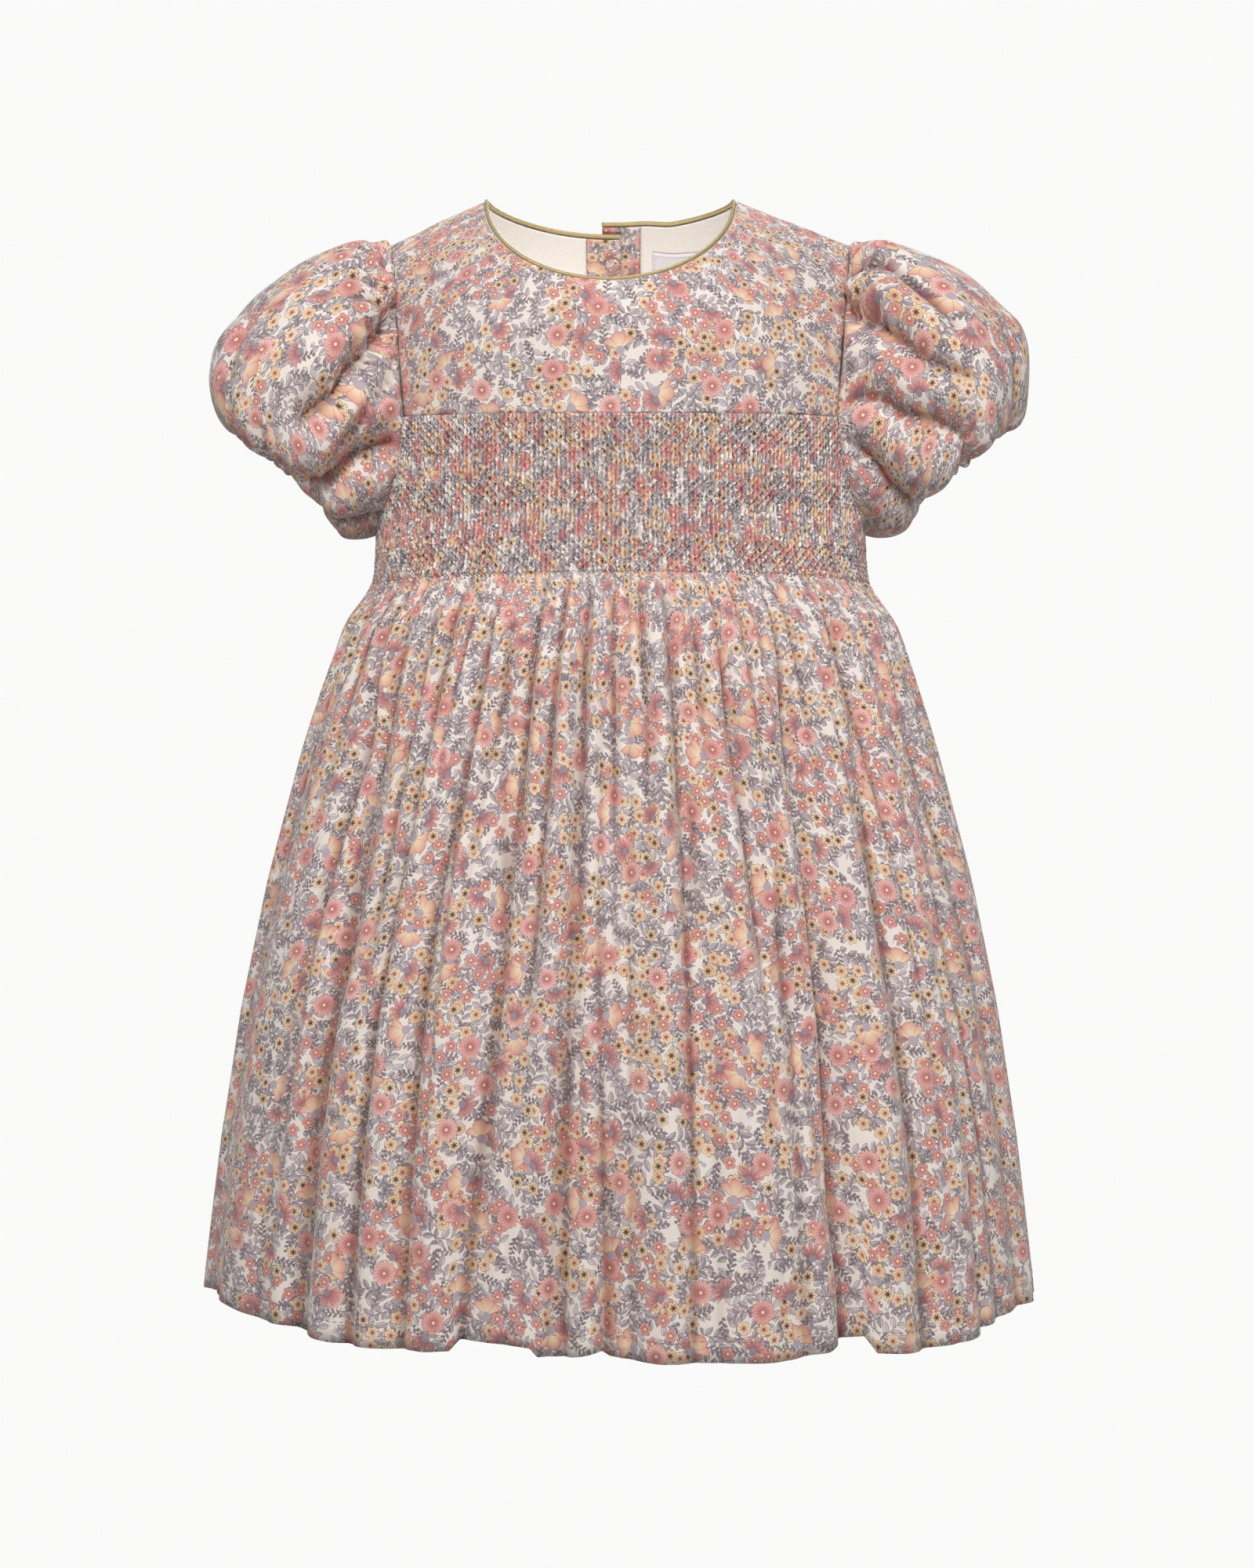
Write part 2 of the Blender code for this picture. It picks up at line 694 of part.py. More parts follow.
def make_lining(name, side):
    """The plain lining of one half of the back, from the facing to the armhole."""
    facing_x = FACING_EDGE_X[side] + side * SEAM_GAP
    layers = []
    for distance in (LINING_DEPTH, LINING_DEPTH + INNER_LAYER):
        rows = layer_rows(side, distance)
        whole = sum(side * (point.x - facing_x) > LINING_INSET for point in rows[-1])
        grid = []
        for line in rows:
            edge = line[0].lerp(line[1], LINING_INSET / (line[1] - line[0]).length)
            grid.append([edge] + line[1:whole] + [spot_on_row(line, facing_x)])
        layers.append(grid)
    return cloth_wall(name, *layers, "white_cotton")


def make_label():
    """A small blank woven label on the lining, to the right of the opening."""
    start = LINING_DEPTH + INNER_LAYER + SEAM_GAP
    layers = []
    for distance in (start, start + LABEL_THICKNESS):
        rows = layer_rows(1, distance)
        grid = []
        for row in range(LABEL_ROWS + 1):
            z = mix(LABEL_BOTTOM_Z, LABEL_TOP_Z, row / LABEL_ROWS)
            spots = [
                mix(LABEL_LEFT_X, LABEL_RIGHT_X, column / LABEL_COLUMNS)
                for column in range(LABEL_COLUMNS + 1)
            ]
            grid.append([spot_on_grid(rows, x, z) for x in spots])
        layers.append(grid)
    return cloth_wall("label_blank", *layers, "label_tape")


def sleeve_rings(side):
    """Outer points of a sleeve, ring by ring, and the normals of its first ring."""
    seam, seam_normals = armhole_turns(side)
    count = len(seam)
    first = []
    first_normals = []
    for i in range(count):
        ahead = seam[(i + 1) % count]
        for step in range(SLEEVE_SPLIT):
            share = step / SLEEVE_SPLIT
            first.append(seam[i].lerp(ahead, share))
            mean = seam_normals[i].lerp(seam_normals[(i + 1) % count], share)
            first_normals.append(mean.normalized())
    total = len(first)
    moved = []
    for i, point in enumerate(first):
        along = (first[(i + 1) % total] - first[i - 1]).normalized()
        into_hole = along.cross(first_normals[i]).normalized() * SEAM_GAP
        centre_way = Vector((0.0, 0.0, (SHOULDER_TIP_Z + UNDERARM_Z) / 2)) - point
        centre_way.x = side * SHOULDER_TIP_X - point.x
        if into_hole.dot(centre_way) < 0:
            into_hole = -into_hole
        moved.append(point + into_hole)
    reach = [0.0]
    for i in range(total):
        reach.append(reach[-1] + (first[(i + 1) % total] - first[i]).length)
    half = reach[total // 2]
    turns = [
        0.5 * r / half if r <= half else 0.5 + 0.5 * (r - half) / (reach[-1] - half)
        for r in reach[:-1]
    ]
    rings = [moved]
    for index, ring in enumerate(SLEEVE):
        more = ring.right_more if side > 0 else 0.0
        top = Vector((side * (ring.top_x + more), 0.0, ring.top_z))
        low = Vector((side * ring.low_x, 0.0, ring.low_z))
        centre = (top + low) / 2
        up = (top - low) / 2
        way_up = up.normalized()
        line = []
        for i, turn in enumerate(turns):
            angle = 2 * math.pi * turn
            around = way_up * math.cos(angle) * up.length
            around.y -= math.sin(angle) * ring.half_depth
            outward = Vector(
                (way_up.x * math.cos(angle), -math.sin(angle), way_up.z * math.cos(angle))
            )
            cap = ease((math.cos(angle) + CAP_GATHER_START) / CAP_GATHER_RUN)
            gather = ring.gather * (1 if i % 2 else -1)
            if index < CAP_RINGS:
                gather *= cap
            offset = gather - sleeve_fold_depth(side, turn, index)
            line.append(centre + around + outward * offset)
        rings.append(line)
    return rings, first_normals


def sleeve_fold_depth(side, turn, index):
    total = 0.0
    for fold in SLEEVE_FOLDS:
        if fold.side != side or not fold.first <= index <= fold.last:
            continue
        along = (index - fold.first) / (fold.last - fold.first)
        centre = mix(fold.turn_start, fold.turn_end, along)
        away = (turn - centre + 0.5) % 1 - 0.5
        strength = math.sin(math.pi * mix(*FOLD_ENDS, along))
        total += fold.depth * strength * math.exp(-((away / fold.width) ** 2))
    return total


def make_sleeve(name, side):
    """A full puff, gathered into the armhole and drawn in by the elastic edge inside."""
    outer, first_normals = sleeve_rings(side)
    normals = grid_normals(outer, closed=True)
    centre = Vector((side * SLEEVE_MIDDLE[0], 0.0, SLEEVE_MIDDLE[1]))
    first_row, last_row = SLEEVE_BODY_RINGS
    lean = sum(
        (point - centre).dot(normal)
        for row, line in zip(outer[first_row:last_row], normals[first_row:last_row])
        for point, normal in zip(row, line)
    )
    if lean < 0:
        normals = [[-normal for normal in line] for line in normals]
    normals[0] = first_normals
    inner = moved_in(outer, normals, WALL)
    return cloth_wall(name, outer, inner, "floral_cotton", closed=True)


def neck_route():
    """The neck edge from its left end at the back, round the front, to its right end."""
    route = []
    for side in (-1, 1):
        rows, normals = back_rows(side)
        half = list(zip(rows[-1], normals[-1]))[BACK_SHOULDER_COLUMNS:]
        point, normal = half[-1]
        half[-1] = (point + Vector((side * CORD_RADIUS, 0.0, 0.0)), normal)
        if side > 0:
            route += half[1:]
            continue
        route += list(reversed(half))[:-1]
        rows, normals = front_rows()
        front = list(zip(rows[-1], normals[-1]))
        route += front[SHOULDER_COLUMNS:-SHOULDER_COLUMNS]
    return route


def make_neck_cord():
    """The twisted metallic cord sewn on the neck edge."""
    route = neck_route()
    middle = Vector((NECK_CENTRE_X, 0.0, NECK_POINT_Z + NECK_MIDDLE_RISE))
    points = []
    for i, (point, normal) in enumerate(route):
        before = route[max(i - 1, 0)][0]
        after = route[min(i + 1, len(route) - 1)][0]
        away = (after - before).cross(normal).normalized()
        if away.dot(middle - point) < 0:
            away = -away
        points.append(point - normal * WALL / 2 + away * (CORD_RADIUS + CORD_GAP))
    curve = bpy.data.curves.new("neck_cord", "CURVE")
    curve.dimensions = "3D"
    curve.bevel_depth = CORD_RADIUS
    curve.bevel_resolution = 2
    curve.use_fill_caps = True
    spline = curve.splines.new("POLY")
    spline.points.add(len(points) - 1)
    for spot, point in zip(spline.points, points):
        spot.co = (*point, 1.0)
    curve.materials.append(material("gold_cord"))
    piece = bpy.data.objects.new("neck_cord", curve)
    collection().objects.link(piece)
    return piece


def make_button(name, point, normal, radius, height, finish):
    mesh = bmesh.new()
    bmesh.ops.create_cone(
        mesh, cap_ends=True, segments=BUTTON_SIDES, radius1=radius, radius2=radius, depth=height
    )
    rims = [edge for edge in mesh.edges if abs(edge.verts[0].co.z - edge.verts[1].co.z) < TINY]
    bmesh.ops.bevel(
        mesh, geom=rims, offset=BUTTON_BEVEL, affect="EDGES", segments=1, profile=0.5,
        material=-1,
    )
    turn = normal.to_track_quat("Z", "Y").to_matrix().to_4x4()
    turn.translation = point + normal * (SEAM_GAP + height / 2)
    bmesh.ops.transform(mesh, matrix=turn, verts=mesh.verts)
    return add_object(name, mesh, finish)


def make_buttons():
    for number, z in enumerate(BUTTON_LEVELS, 1):
        point = chest_point(BUTTON_X, z, 1)
        normal = chest_normal(point, 1)
        make_button(f"button_back_{number}", point + normal * LAP_LIFT, normal,
                    BUTTON_RADIUS, BUTTON_HEIGHT, "button_shell")
    point = chest_point(COVERED_BUTTON_X, COVERED_BUTTON_Z, 1)
    normal = chest_normal(point, 1)
    point -= normal * (WALL + 2 * SEAM_GAP + INNER_LAYER)
    make_button("button_inside", point, -normal,
                COVERED_BUTTON_RADIUS, COVERED_BUTTON_HEIGHT, "floral_cotton")


def main():
    for piece in list(bpy.data.objects):
        bpy.data.objects.remove(piece, do_unlink=True)
    make_front_yoke()
    make_front_panel()
    make_back_skirt()
    for word, side in (("left", -1), ("right", 1)):
        make_back_bodice(f"back_bodice_{word}", side)
        make_facing(f"back_facing_{word}", side)
        make_lining(f"back_lining_{word}", side)
        make_sleeve(f"sleeve_{word}", side)
    make_label()
    make_neck_cord()
    make_buttons()


main()
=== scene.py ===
"""Child's smocked dress with puff sleeves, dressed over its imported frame.

Metres, +Z up, the front faces -Y and +X is the right-hand side of the picture.
Each piece of cloth is worked out on the same named sizes as its solid, with finer folds.
"""
import math
from collections import namedtuple

import bmesh
import bpy
import numpy as np
from mathutils import Matrix, Vector


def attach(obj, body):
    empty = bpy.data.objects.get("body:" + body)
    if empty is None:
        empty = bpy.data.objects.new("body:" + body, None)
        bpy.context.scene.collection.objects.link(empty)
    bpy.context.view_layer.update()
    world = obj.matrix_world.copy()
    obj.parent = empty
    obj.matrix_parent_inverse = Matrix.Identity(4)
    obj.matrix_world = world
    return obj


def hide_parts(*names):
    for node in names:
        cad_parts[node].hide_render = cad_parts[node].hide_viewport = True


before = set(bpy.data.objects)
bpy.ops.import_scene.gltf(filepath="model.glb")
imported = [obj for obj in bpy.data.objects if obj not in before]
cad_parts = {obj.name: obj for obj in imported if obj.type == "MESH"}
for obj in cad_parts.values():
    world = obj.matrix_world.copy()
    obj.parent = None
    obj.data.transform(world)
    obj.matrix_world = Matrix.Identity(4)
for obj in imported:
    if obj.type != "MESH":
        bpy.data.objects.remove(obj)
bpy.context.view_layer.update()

# Walls and seams
WALL = 0.0012
INNER_LAYER = 0.0010
SEAM_GAP = 0.0003
CLOTH = 0.0004
# Painted shade in the folds: how deep a valley must lie to be darkened fully, and the warm brown its
# colour is darkened by
FOLD_SHADE_DEPTH = 0.0020
PAINTED_FOLD_SHADE_TONE = (0.56, 0.48, 0.45)

# Shoulders and neck
NECK_CENTRE_X = -0.005
NECK_HALF_WIDTH = 0.060
NECK_POINT_Z = 0.012
FRONT_NECK_DROP = 0.0505
BACK_NECK_DROP = {-1: 0.0102, 1: 0.0072}
BACK_NECK_POWER = 0.65
SHOULDER_TIP_X = 0.109
SHOULDER_TIP_Z = -0.009
NECK_CROWN = 0.012
SHOULDER_ROUND = 0.085
ROUND_POWER = 0.8
BACK_SHARE = 0.95

# Armholes, chest seam and waist
CHEST_SEAM_Z = -0.0955
CHEST_SEAM_SAG = 0.0035
CHEST_SEAM_X = 0.100
UNDERARM_Z = -0.146
UNDERARM_X = 0.115
WAIST_Z = -0.170
HEM_Z = -0.507

# Cut widths of the gathered cloth
FRONT_CUT = 0.62
BACK_CUT = 0.60

# Smocked band
REEDS = 150
REED_COLUMNS = 4
BAND_ROWS = 75
REED_DEPTH = 0.0009
LATTICE_ROWS = 4
LATTICE_LEAN = 0.36
STITCH_LENGTH = 0.0016
STITCH_RADIUS = 0.00021
LatticeZone = namedtuple("LatticeZone", "top low")
LATTICE = (
    LatticeZone(-0.0960, -0.1140),
    LatticeZone(-0.1262, -0.1387),
    LatticeZone(-0.1545, -0.1700),
)
LATTICE_FADE = 0.0016

# Centre-back opening: the right panel laps over the left one
LAP_EDGE_X = {-1: 0.0, 1: -0.009}
LAP_FLAT_X = 0.010
LAP_BLEND_X = 0.028
LAP_EASE = 0.0006
LAP_LIFT = WALL + 2 * SEAM_GAP + INNER_LAYER + LAP_EASE
FACING_EDGE_X = {-1: -0.0168, 1: 0.0092}
LINING_DEPTH = WALL + SEAM_GAP
LABEL_X = (0.0156, 0.0440)
LABEL_Z = (-0.0245, -0.0042)

# Trim
CORD_RADIUS = 0.0010
CORD_GAP = 0.0004
BUTTON_RADIUS = 0.0055
BUTTON_X = -0.0045
BUTTON_LEVELS = (-0.014, -0.082, -0.150)
COVERED_BUTTON_RADIUS = 0.0034
COVERED_BUTTON_X = -0.0042
COVERED_BUTTON_Z = -0.0072
CORD_STRANDS = 3
CORD_PITCH = 0.0030
CORD_STEP = 0.00034
STITCH_INSET = 0.0012
HEM_DEPTH = 0.0100
HEM_STITCHES = 185
HOLE_SPREAD = 0.0011
HOLE_RADIUS = 0.0005
LOOP_RADIUS = 0.0041
BUTTON_PRINT_SCALE = 2.2

BodyRow = namedtuple("BodyRow", "z half_width half_depth squareness")
BODY = (
    BodyRow(0.020, 0.1150, 0.080, 2.00),
    BodyRow(-0.146, 0.1150, 0.080, 2.00),
    BodyRow(-0.170, 0.1165, 0.083, 2.05),
    BodyRow(-0.190, 0.1295, 0.097, 2.10),
    BodyRow(-0.220, 0.1390, 0.109, 2.15),
    BodyRow(-0.250, 0.1480, 0.118, 2.20),
    BodyRow(-0.310, 0.1635, 0.131, 2.30),
    BodyRow(-0.369, 0.1755, 0.141, 2.40),
    BodyRow(-0.429, 0.1845, 0.147, 2.45),
    BodyRow(-0.507, 0.1930, 0.150, 2.45),
)

# Broad folds of the skirt: degrees round from the front centre towards +X
ANGLE_LEVELS = (-0.190, -0.340, -0.507)
FOLD_FADE = 0.060
Fold = namedtuple("Fold", "top middle hem start_z end_z depth width")
FOLDS = (
    Fold(-58, -53, -54, -0.195, -0.60, 0.010, 6.0),
    Fold(-47, -46, -47, -0.180, -0.38, 0.007, 5.0),
    Fold(-27, -22, -26, -0.185, -0.60, 0.009, 4.5),
    Fold(-15, -16, -18, -0.200, -0.38, 0.006, 3.8),
    Fold(-10, -10, -12, -0.340, -0.60, 0.007, 4.0),
    Fold(-4, -4, -2, -0.190, -0.60, 0.012, 4.2),
    Fold(12, 3, 3, -0.180, -0.26, 0.004, 4.0),
    Fold(19, 13, 12, -0.200, -0.60, 0.004, 5.5),
    Fold(24, 26, 26, -0.190, -0.38, 0.006, 4.0),
    Fold(38, 37, 37, -0.200, -0.60, 0.012, 5.0),
    Fold(29, 31, 37, -0.290, -0.49, 0.007, 4.0),
    Fold(70, 65, 66, -0.195, -0.60, 0.009, 6.0),
    Fold(112, 114, 113, -0.200, -0.60, 0.010, 6.0),
    Fold(131, 129, 128, -0.185, -0.37, 0.006, 5.0),
    Fold(143, 147, 149, -0.200, -0.60, 0.011, 5.0),
    Fold(161, 164, 163, -0.190, -0.60, 0.007, 4.5),
    Fold(178, 180, 183, -0.185, -0.60, 0.011, 4.5),
    Fold(196, 193, 191, -0.200, -0.40, 0.006, 4.5),
    Fold(210, 213, 215, -0.190, -0.60, 0.010, 5.0),
    Fold(231, 228, 227, -0.200, -0.60, 0.007, 5.0),
    Fold(246, 249, 251, -0.195, -0.60, 0.010, 6.0),
)

# Rise of the hem, in degrees round and metres: it steps where one fold lies over the next
HEM_SHAPE_TOP = -0.400
HemSpot = namedtuple("HemSpot", "angle lift")
HEM_SPOTS = (
    HemSpot(-90, 0.0050), HemSpot(-80, 0.0095), HemSpot(-72, 0.0110), HemSpot(-66, 0.0090),
    HemSpot(-60, 0.0055), HemSpot(-52, 0.0030), HemSpot(-45, 0.0010), HemSpot(-27.6, 0.0),
    HemSpot(-26.4, 0.0048), HemSpot(-20, 0.0042), HemSpot(-14.6, 0.0028), HemSpot(-13.4, -0.0012),
    HemSpot(-8, -0.0016), HemSpot(-3.0, 0.0010), HemSpot(-1.8, -0.0020), HemSpot(6, -0.0035),
    HemSpot(18, -0.0040), HemSpot(27, -0.0030), HemSpot(33, -0.0010), HemSpot(39.4, 0.0042),
    HemSpot(40.6, -0.0030), HemSpot(47, -0.0036), HemSpot(54, -0.0012), HemSpot(62, 0.0012),
    HemSpot(72, 0.0045), HemSpot(80, 0.0050), HemSpot(90, 0.0040), HemSpot(113, 0.0020),
    HemSpot(114.4, -0.0018), HemSpot(146, 0.0016), HemSpot(147.4, -0.0022), HemSpot(179, 0.0010),
    HemSpot(180.5, -0.0028), HemSpot(212, 0.0012), HemSpot(214, -0.0024), HemSpot(248, 0.0024),
    HemSpot(270, 0.0050),
)

# Gathers below the smocking, from the finest to the broadest: height at each level
GATHER_LEVELS = (-0.170, -0.176, -0.186, -0.205, -0.235, -0.300, -0.420, -0.507)
Gather = namedtuple("Gather", "waves seed heights")
GATHERS = (
    Gather(61, 3, (0.0003, 0.0011, 0.0015, 0.0010, 0.0004, 0.0001, 0.0, 0.0)),
    Gather(33, 5, (0.0000, 0.0006, 0.0019, 0.0030, 0.0030, 0.0018, 0.0009, 0.0006)),
    Gather(17, 8, (0.0000, 0.0000, 0.0005, 0.0016, 0.0030, 0.0036, 0.0032, 0.0030)),
)

# Sections of the puffed sleeve, from the armhole to the elastic edge that is tucked up inside
SleeveRing = namedtuple("SleeveRing", "top_x right_more top_z low_x low_z half_depth")
SLEEVE = (
    SleeveRing(0.1220, 0.000, -0.0085, 0.1200, -0.1475, 0.050),
    SleeveRing(0.1380, 0.002, -0.0120, 0.1255, -0.1478, 0.057),
    SleeveRing(0.1560, 0.004, -0.0210, 0.1310, -0.1468, 0.062),
    SleeveRing(0.1735, 0.004, -0.0355, 0.1345, -0.1442, 0.064),
    SleeveRing(0.1880, 0.001, -0.0525, 0.1372, -0.1405, 0.063),
    SleeveRing(0.1942, -0.003, -0.0715, 0.1388, -0.1370, 0.060),
    SleeveRing(0.1915, -0.002, -0.0880, 0.1392, -0.1332, 0.054),
    SleeveRing(0.1835, 0.000, -0.0960, 0.1380, -0.1300, 0.045),
    SleeveRing(0.1750, 0.000, -0.0935, 0.1360, -0.1268, 0.034),
)
# Creases of a sleeve, as (turn, ring) along each: turn is 0 at the shoulder, 0.25 in front,
# 0.5 under the arm and 0.75 behind, and ring runs from 0 at the armhole to 9
Crease = namedtuple("Crease", "side path depth width lip")
CREASES = (
    Crease(-1, ((0.060, 0.0), (0.150, 0.25), (0.228, 0.80), (0.269, 1.85), (0.289, 3.65)),
           0.0100, 0.020, 0.45),
    Crease(-1, ((0.165, 0.0), (0.245, 0.40), (0.300, 1.00), (0.325, 2.20)), 0.0045, 0.014, 0.4),
    Crease(-1, ((0.320, 0.30), (0.353, 1.85), (0.372, 3.20), (0.380, 5.50)), 0.0085, 0.022, 0.5),
    Crease(-1, ((0.430, 0.50), (0.440, 3.00), (0.430, 6.50)), 0.0040, 0.020, 0.5),
    Crease(-1, ((0.130, 4.40), (0.165, 6.00), (0.180, 8.20)), 0.0040, 0.020, 0.5),
    Crease(-1, ((0.260, 5.60), (0.270, 7.00), (0.275, 8.50)), 0.0035, 0.018, 0.5),
    Crease(-1, ((0.940, 0.20), (0.880, 1.20), (0.820, 3.00), (0.800, 4.60)), 0.0075, 0.022, 0.45),
    Crease(-1, ((0.700, 0.40), (0.670, 2.00), (0.640, 4.50)), 0.0070, 0.024, 0.5),
    Crease(1, ((0.060, 0.0), (0.085, 0.60), (0.128, 1.50), (0.156, 2.40), (0.194, 3.40)),
           0.0055, 0.017, 0.4),
    Crease(1, ((0.115, 0.0), (0.160, 0.40), (0.208, 1.10), (0.228, 2.45), (0.222, 3.95)),
           0.0105, 0.021, 0.45),
    Crease(1, ((0.265, 0.50), (0.290, 1.40), (0.294, 4.00), (0.290, 7.80)), 0.0070, 0.022, 0.5),
    Crease(1, ((0.317, 0.30), (0.375, 1.25), (0.417, 3.65), (0.420, 6.50)), 0.0060, 0.022, 0.5),
    Crease(1, ((0.120, 4.60), (0.125, 6.20), (0.120, 8.00)), 0.0040, 0.020, 0.5),
    Crease(1, ((0.930, 0.20), (0.870, 1.30), (0.830, 2.80), (0.800, 4.80)), 0.0075, 0.022, 0.45),
    Crease(1, ((0.690, 0.40), (0.660, 2.00), (0.630, 4.50)), 0.0070, 0.024, 0.5),
)


# ---- sums on sizes ----

def clamp(value):
    return np.clip(value, 0.0, 1.0)


def ease(value):
    value = clamp(value)
    return value * value * (3 - 2 * value)


def mix(first, second, share):
    return first + (second - first) * share


def uneven(turn, count, seed, least=-1.0, most=1.0):
    """Smooth random values along a turn from 0 to 1, with a new one at each of count knots."""
    values = np.random.default_rng(seed).uniform(least, most, count + 4)
    spot = np.clip(turn, -0.01, 1.01) * count + 1
    knot = np.floor(spot).astype(int)
    return mix(values[knot], values[knot + 1], ease(spot - knot))


BODY_TABLE = np.array(BODY)[::-1]


def body_row(z):
    """Half width, half depth and squareness of the body's section, a little smoothed."""
    result = []
    for column in (1, 2, 3):
        near = [np.interp(z + step, BODY_TABLE[:, 0], BODY_TABLE[:, column])
                for step in (-0.005, 0.0, 0.005)]
        result.append((near[0] + 2 * near[1] + near[2]) / 4)
    return result


def shoulder_height(x):
    across = np.abs(x - NECK_CENTRE_X) / NECK_HALF_WIDTH
    crown = NECK_POINT_Z + NECK_CROWN * (1 - across * across)
    neck_point_x = NECK_HALF_WIDTH + np.sign(x) * NECK_CENTRE_X
    share = (np.abs(x) - neck_point_x) / (SHOULDER_TIP_X - neck_point_x)
    return np.where(across <= 1, crown, mix(NECK_POINT_Z, SHOULDER_TIP_Z, share))


def chest_depth(x, z):
    half_width, half_depth, squareness = body_row(z)
    below_ridge = clamp((shoulder_height(x) - z) / SHOULDER_ROUND)
    rounding = np.sin(below_ridge * math.pi / 2) ** ROUND_POWER
    spread = np.maximum(0.0, 1 - (np.abs(x) / half_width) ** squareness)
    return half_depth * rounding * spread ** (1 / squareness)


def chest_points(x, z, facing):
    """Points of the body above the waist: facing is -1 for the front and 1 for the back."""
    share = BACK_SHARE if facing > 0 else 1.0
    return np.stack((x, facing * share * chest_depth(x, z), z), axis=-1)


def section_radius(angle, z):
    half_width, half_depth, squareness = body_row(z)
    across = (np.abs(np.sin(angle)) / half_width) ** squareness
    deep = (np.abs(np.cos(angle)) / half_depth) ** squareness
    return (across + deep) ** (-1 / squareness)


def section_points(angle, z, radius):
    return np.stack((radius * np.sin(angle), -radius * np.cos(angle), z + 0 * angle), axis=-1)


def armhole_x(z):
    high = mix(CHEST_SEAM_X, SHOULDER_TIP_X,
               (z - CHEST_SEAM_Z) / (SHOULDER_TIP_Z - CHEST_SEAM_Z))
    share = clamp((CHEST_SEAM_Z - z) / (CHEST_SEAM_Z - UNDERARM_Z))
    return np.where(z >= CHEST_SEAM_Z, high, mix(CHEST_SEAM_X, UNDERARM_X, share ** 2))


def fold_angle(fold, z):
    return np.interp(-z, [-level for level in ANGLE_LEVELS], fold[:3])


def trough_depth(angle, z):
    """How far the broad folds push the cloth in."""
    degrees = np.degrees(angle)
    total = 0.0 * degrees
    for fold in FOLDS:
        away = (degrees - fold_angle(fold, z) + 180) % 360 - 180
        strength = ease((fold.start_z - z) / FOLD_FADE) * ease((z - fold.end_z) / FOLD_FADE)
        broad = np.exp(-((away / fold.width) ** 2))
        narrow = np.exp(-np.sqrt((away / (0.38 * fold.width)) ** 2 + 0.04))
        total += fold.depth * strength * (0.55 * broad + 0.55 * narrow)
    return total


def hem_lift(angle, z):
    lift = np.interp(np.degrees(angle), [spot.angle for spot in HEM_SPOTS],
                     [spot.lift for spot in HEM_SPOTS])
    return lift * ease((HEM_SHAPE_TOP - z) / (HEM_SHAPE_TOP - HEM_Z))


def path_lengths(points):
    steps = np.linalg.norm(np.diff(points, axis=0), axis=-1)
    return np.concatenate(((0.0,), np.cumsum(steps)))


def even_angles(z, first, last, count):
    """Angles that share one section between two angles into runs of equal length."""
    angles = np.linspace(first, last, 720)
    reach = path_lengths(section_points(angles, z, section_radius(angles, z)))
    return np.interp(np.linspace(0, reach[-1], count + 1), reach, angles)


def outward(points):
    """Unit normals of a grid whose rows run up and whose columns run to the right."""
    up = np.gradient(points, axis=0)
    along = np.gradient(points, axis=1)
    normals = np.cross(along, up)
    return normals / np.maximum(np.linalg.norm(normals, axis=-1, keepdims=True), 1e-12)


# ---- shader wiring ----

def rgb(red, green, blue):
    """A colour as seen on screen, from 0 to 255, in the linear form that shaders take."""
    parts = [part / 255 for part in (red, green, blue)]
    return (*(p / 12.92 if p <= 0.04045 else ((p + 0.055) / 1.055) ** 2.4 for p in parts), 1.0)


class Wiring:
    """Places and joins the nodes of one material or group."""

    def __init__(self, tree):
        self.tree = tree

    def feed(self, socket, value):
        if isinstance(value, bpy.types.NodeSocket):
            self.tree.links.new(value, socket)
        else:
            socket.default_value = value

    def add(self, kind, inputs=None, **settings):
        node = self.tree.nodes.new(kind)
        for key, value in settings.items():
            setattr(node, key, value)
        for key, value in (inputs or {}).items():
            self.feed(node.inputs[key], value)
        return node

    def sum(self, operation, *values, clamped=False):
        node = self.add("ShaderNodeMath", operation=operation, use_clamp=clamped)
        for socket, value in zip(node.inputs, values):
            self.feed(socket, value)
        return node.outputs[0]

    def vector(self, operation, *values):
        node = self.add("ShaderNodeVectorMath", operation=operation)
        for socket, value in zip(node.inputs, values):
            self.feed(socket, value)
        return node.outputs["Value" if operation in ("LENGTH", "DOT_PRODUCT") else "Vector"]

    def scaled(self, vector, factor):
        node = self.add("ShaderNodeVectorMath", {"Vector": vector, "Scale": factor},
                        operation="SCALE")
        return node.outputs["Vector"]

    def blend(self, share, first, second):
        node = self.add("ShaderNodeMix", data_type="RGBA")
        self.feed(node.inputs[0], share)
        self.feed(node.inputs[6], first)
        self.feed(node.inputs[7], second)
        return node.outputs[2]

    def turned(self, vector, angle):
        node = self.add("ShaderNodeVectorRotate", {"Vector": vector, "Angle": angle},
                        rotation_type="Z_AXIS")
        return node.outputs["Vector"]

    def split(self, vector):
        return self.add("ShaderNodeSeparateXYZ", {"Vector": vector}).outputs

    def ink(self, value):
        """1 where value is above zero, with an edge as soft as printed ink."""
        return self.sum("MULTIPLY_ADD", value, 1 / INK_EDGE, 0.5, clamped=True)

    def noise(self, vector, scale, detail=2.0, dimensions="2D"):
        return self.add("ShaderNodeTexNoise",
                        {"Vector": vector, "Scale": scale, "Detail": detail},
                        noise_dimensions=dimensions).outputs["Fac"]


INK_EDGE = 0.00014
INK_LINE = 0.00031
FLOAT = "NodeSocketFloat"
VECTOR = "NodeSocketVector"
COLOUR = "NodeSocketColor"


def new_group(name, inputs, outputs):
    tree = bpy.data.node_groups.new(name, "ShaderNodeTree")
    for key, kind in inputs:
        tree.interface.new_socket(name=key, in_out="INPUT", socket_type=kind)
    for key, kind in outputs:
        tree.interface.new_socket(name=key, in_out="OUTPUT", socket_type=kind)
    wiring = Wiring(tree)
    given = wiring.add("NodeGroupInput").outputs
    give = wiring.add("NodeGroupOutput").inputs
    return wiring, given, give


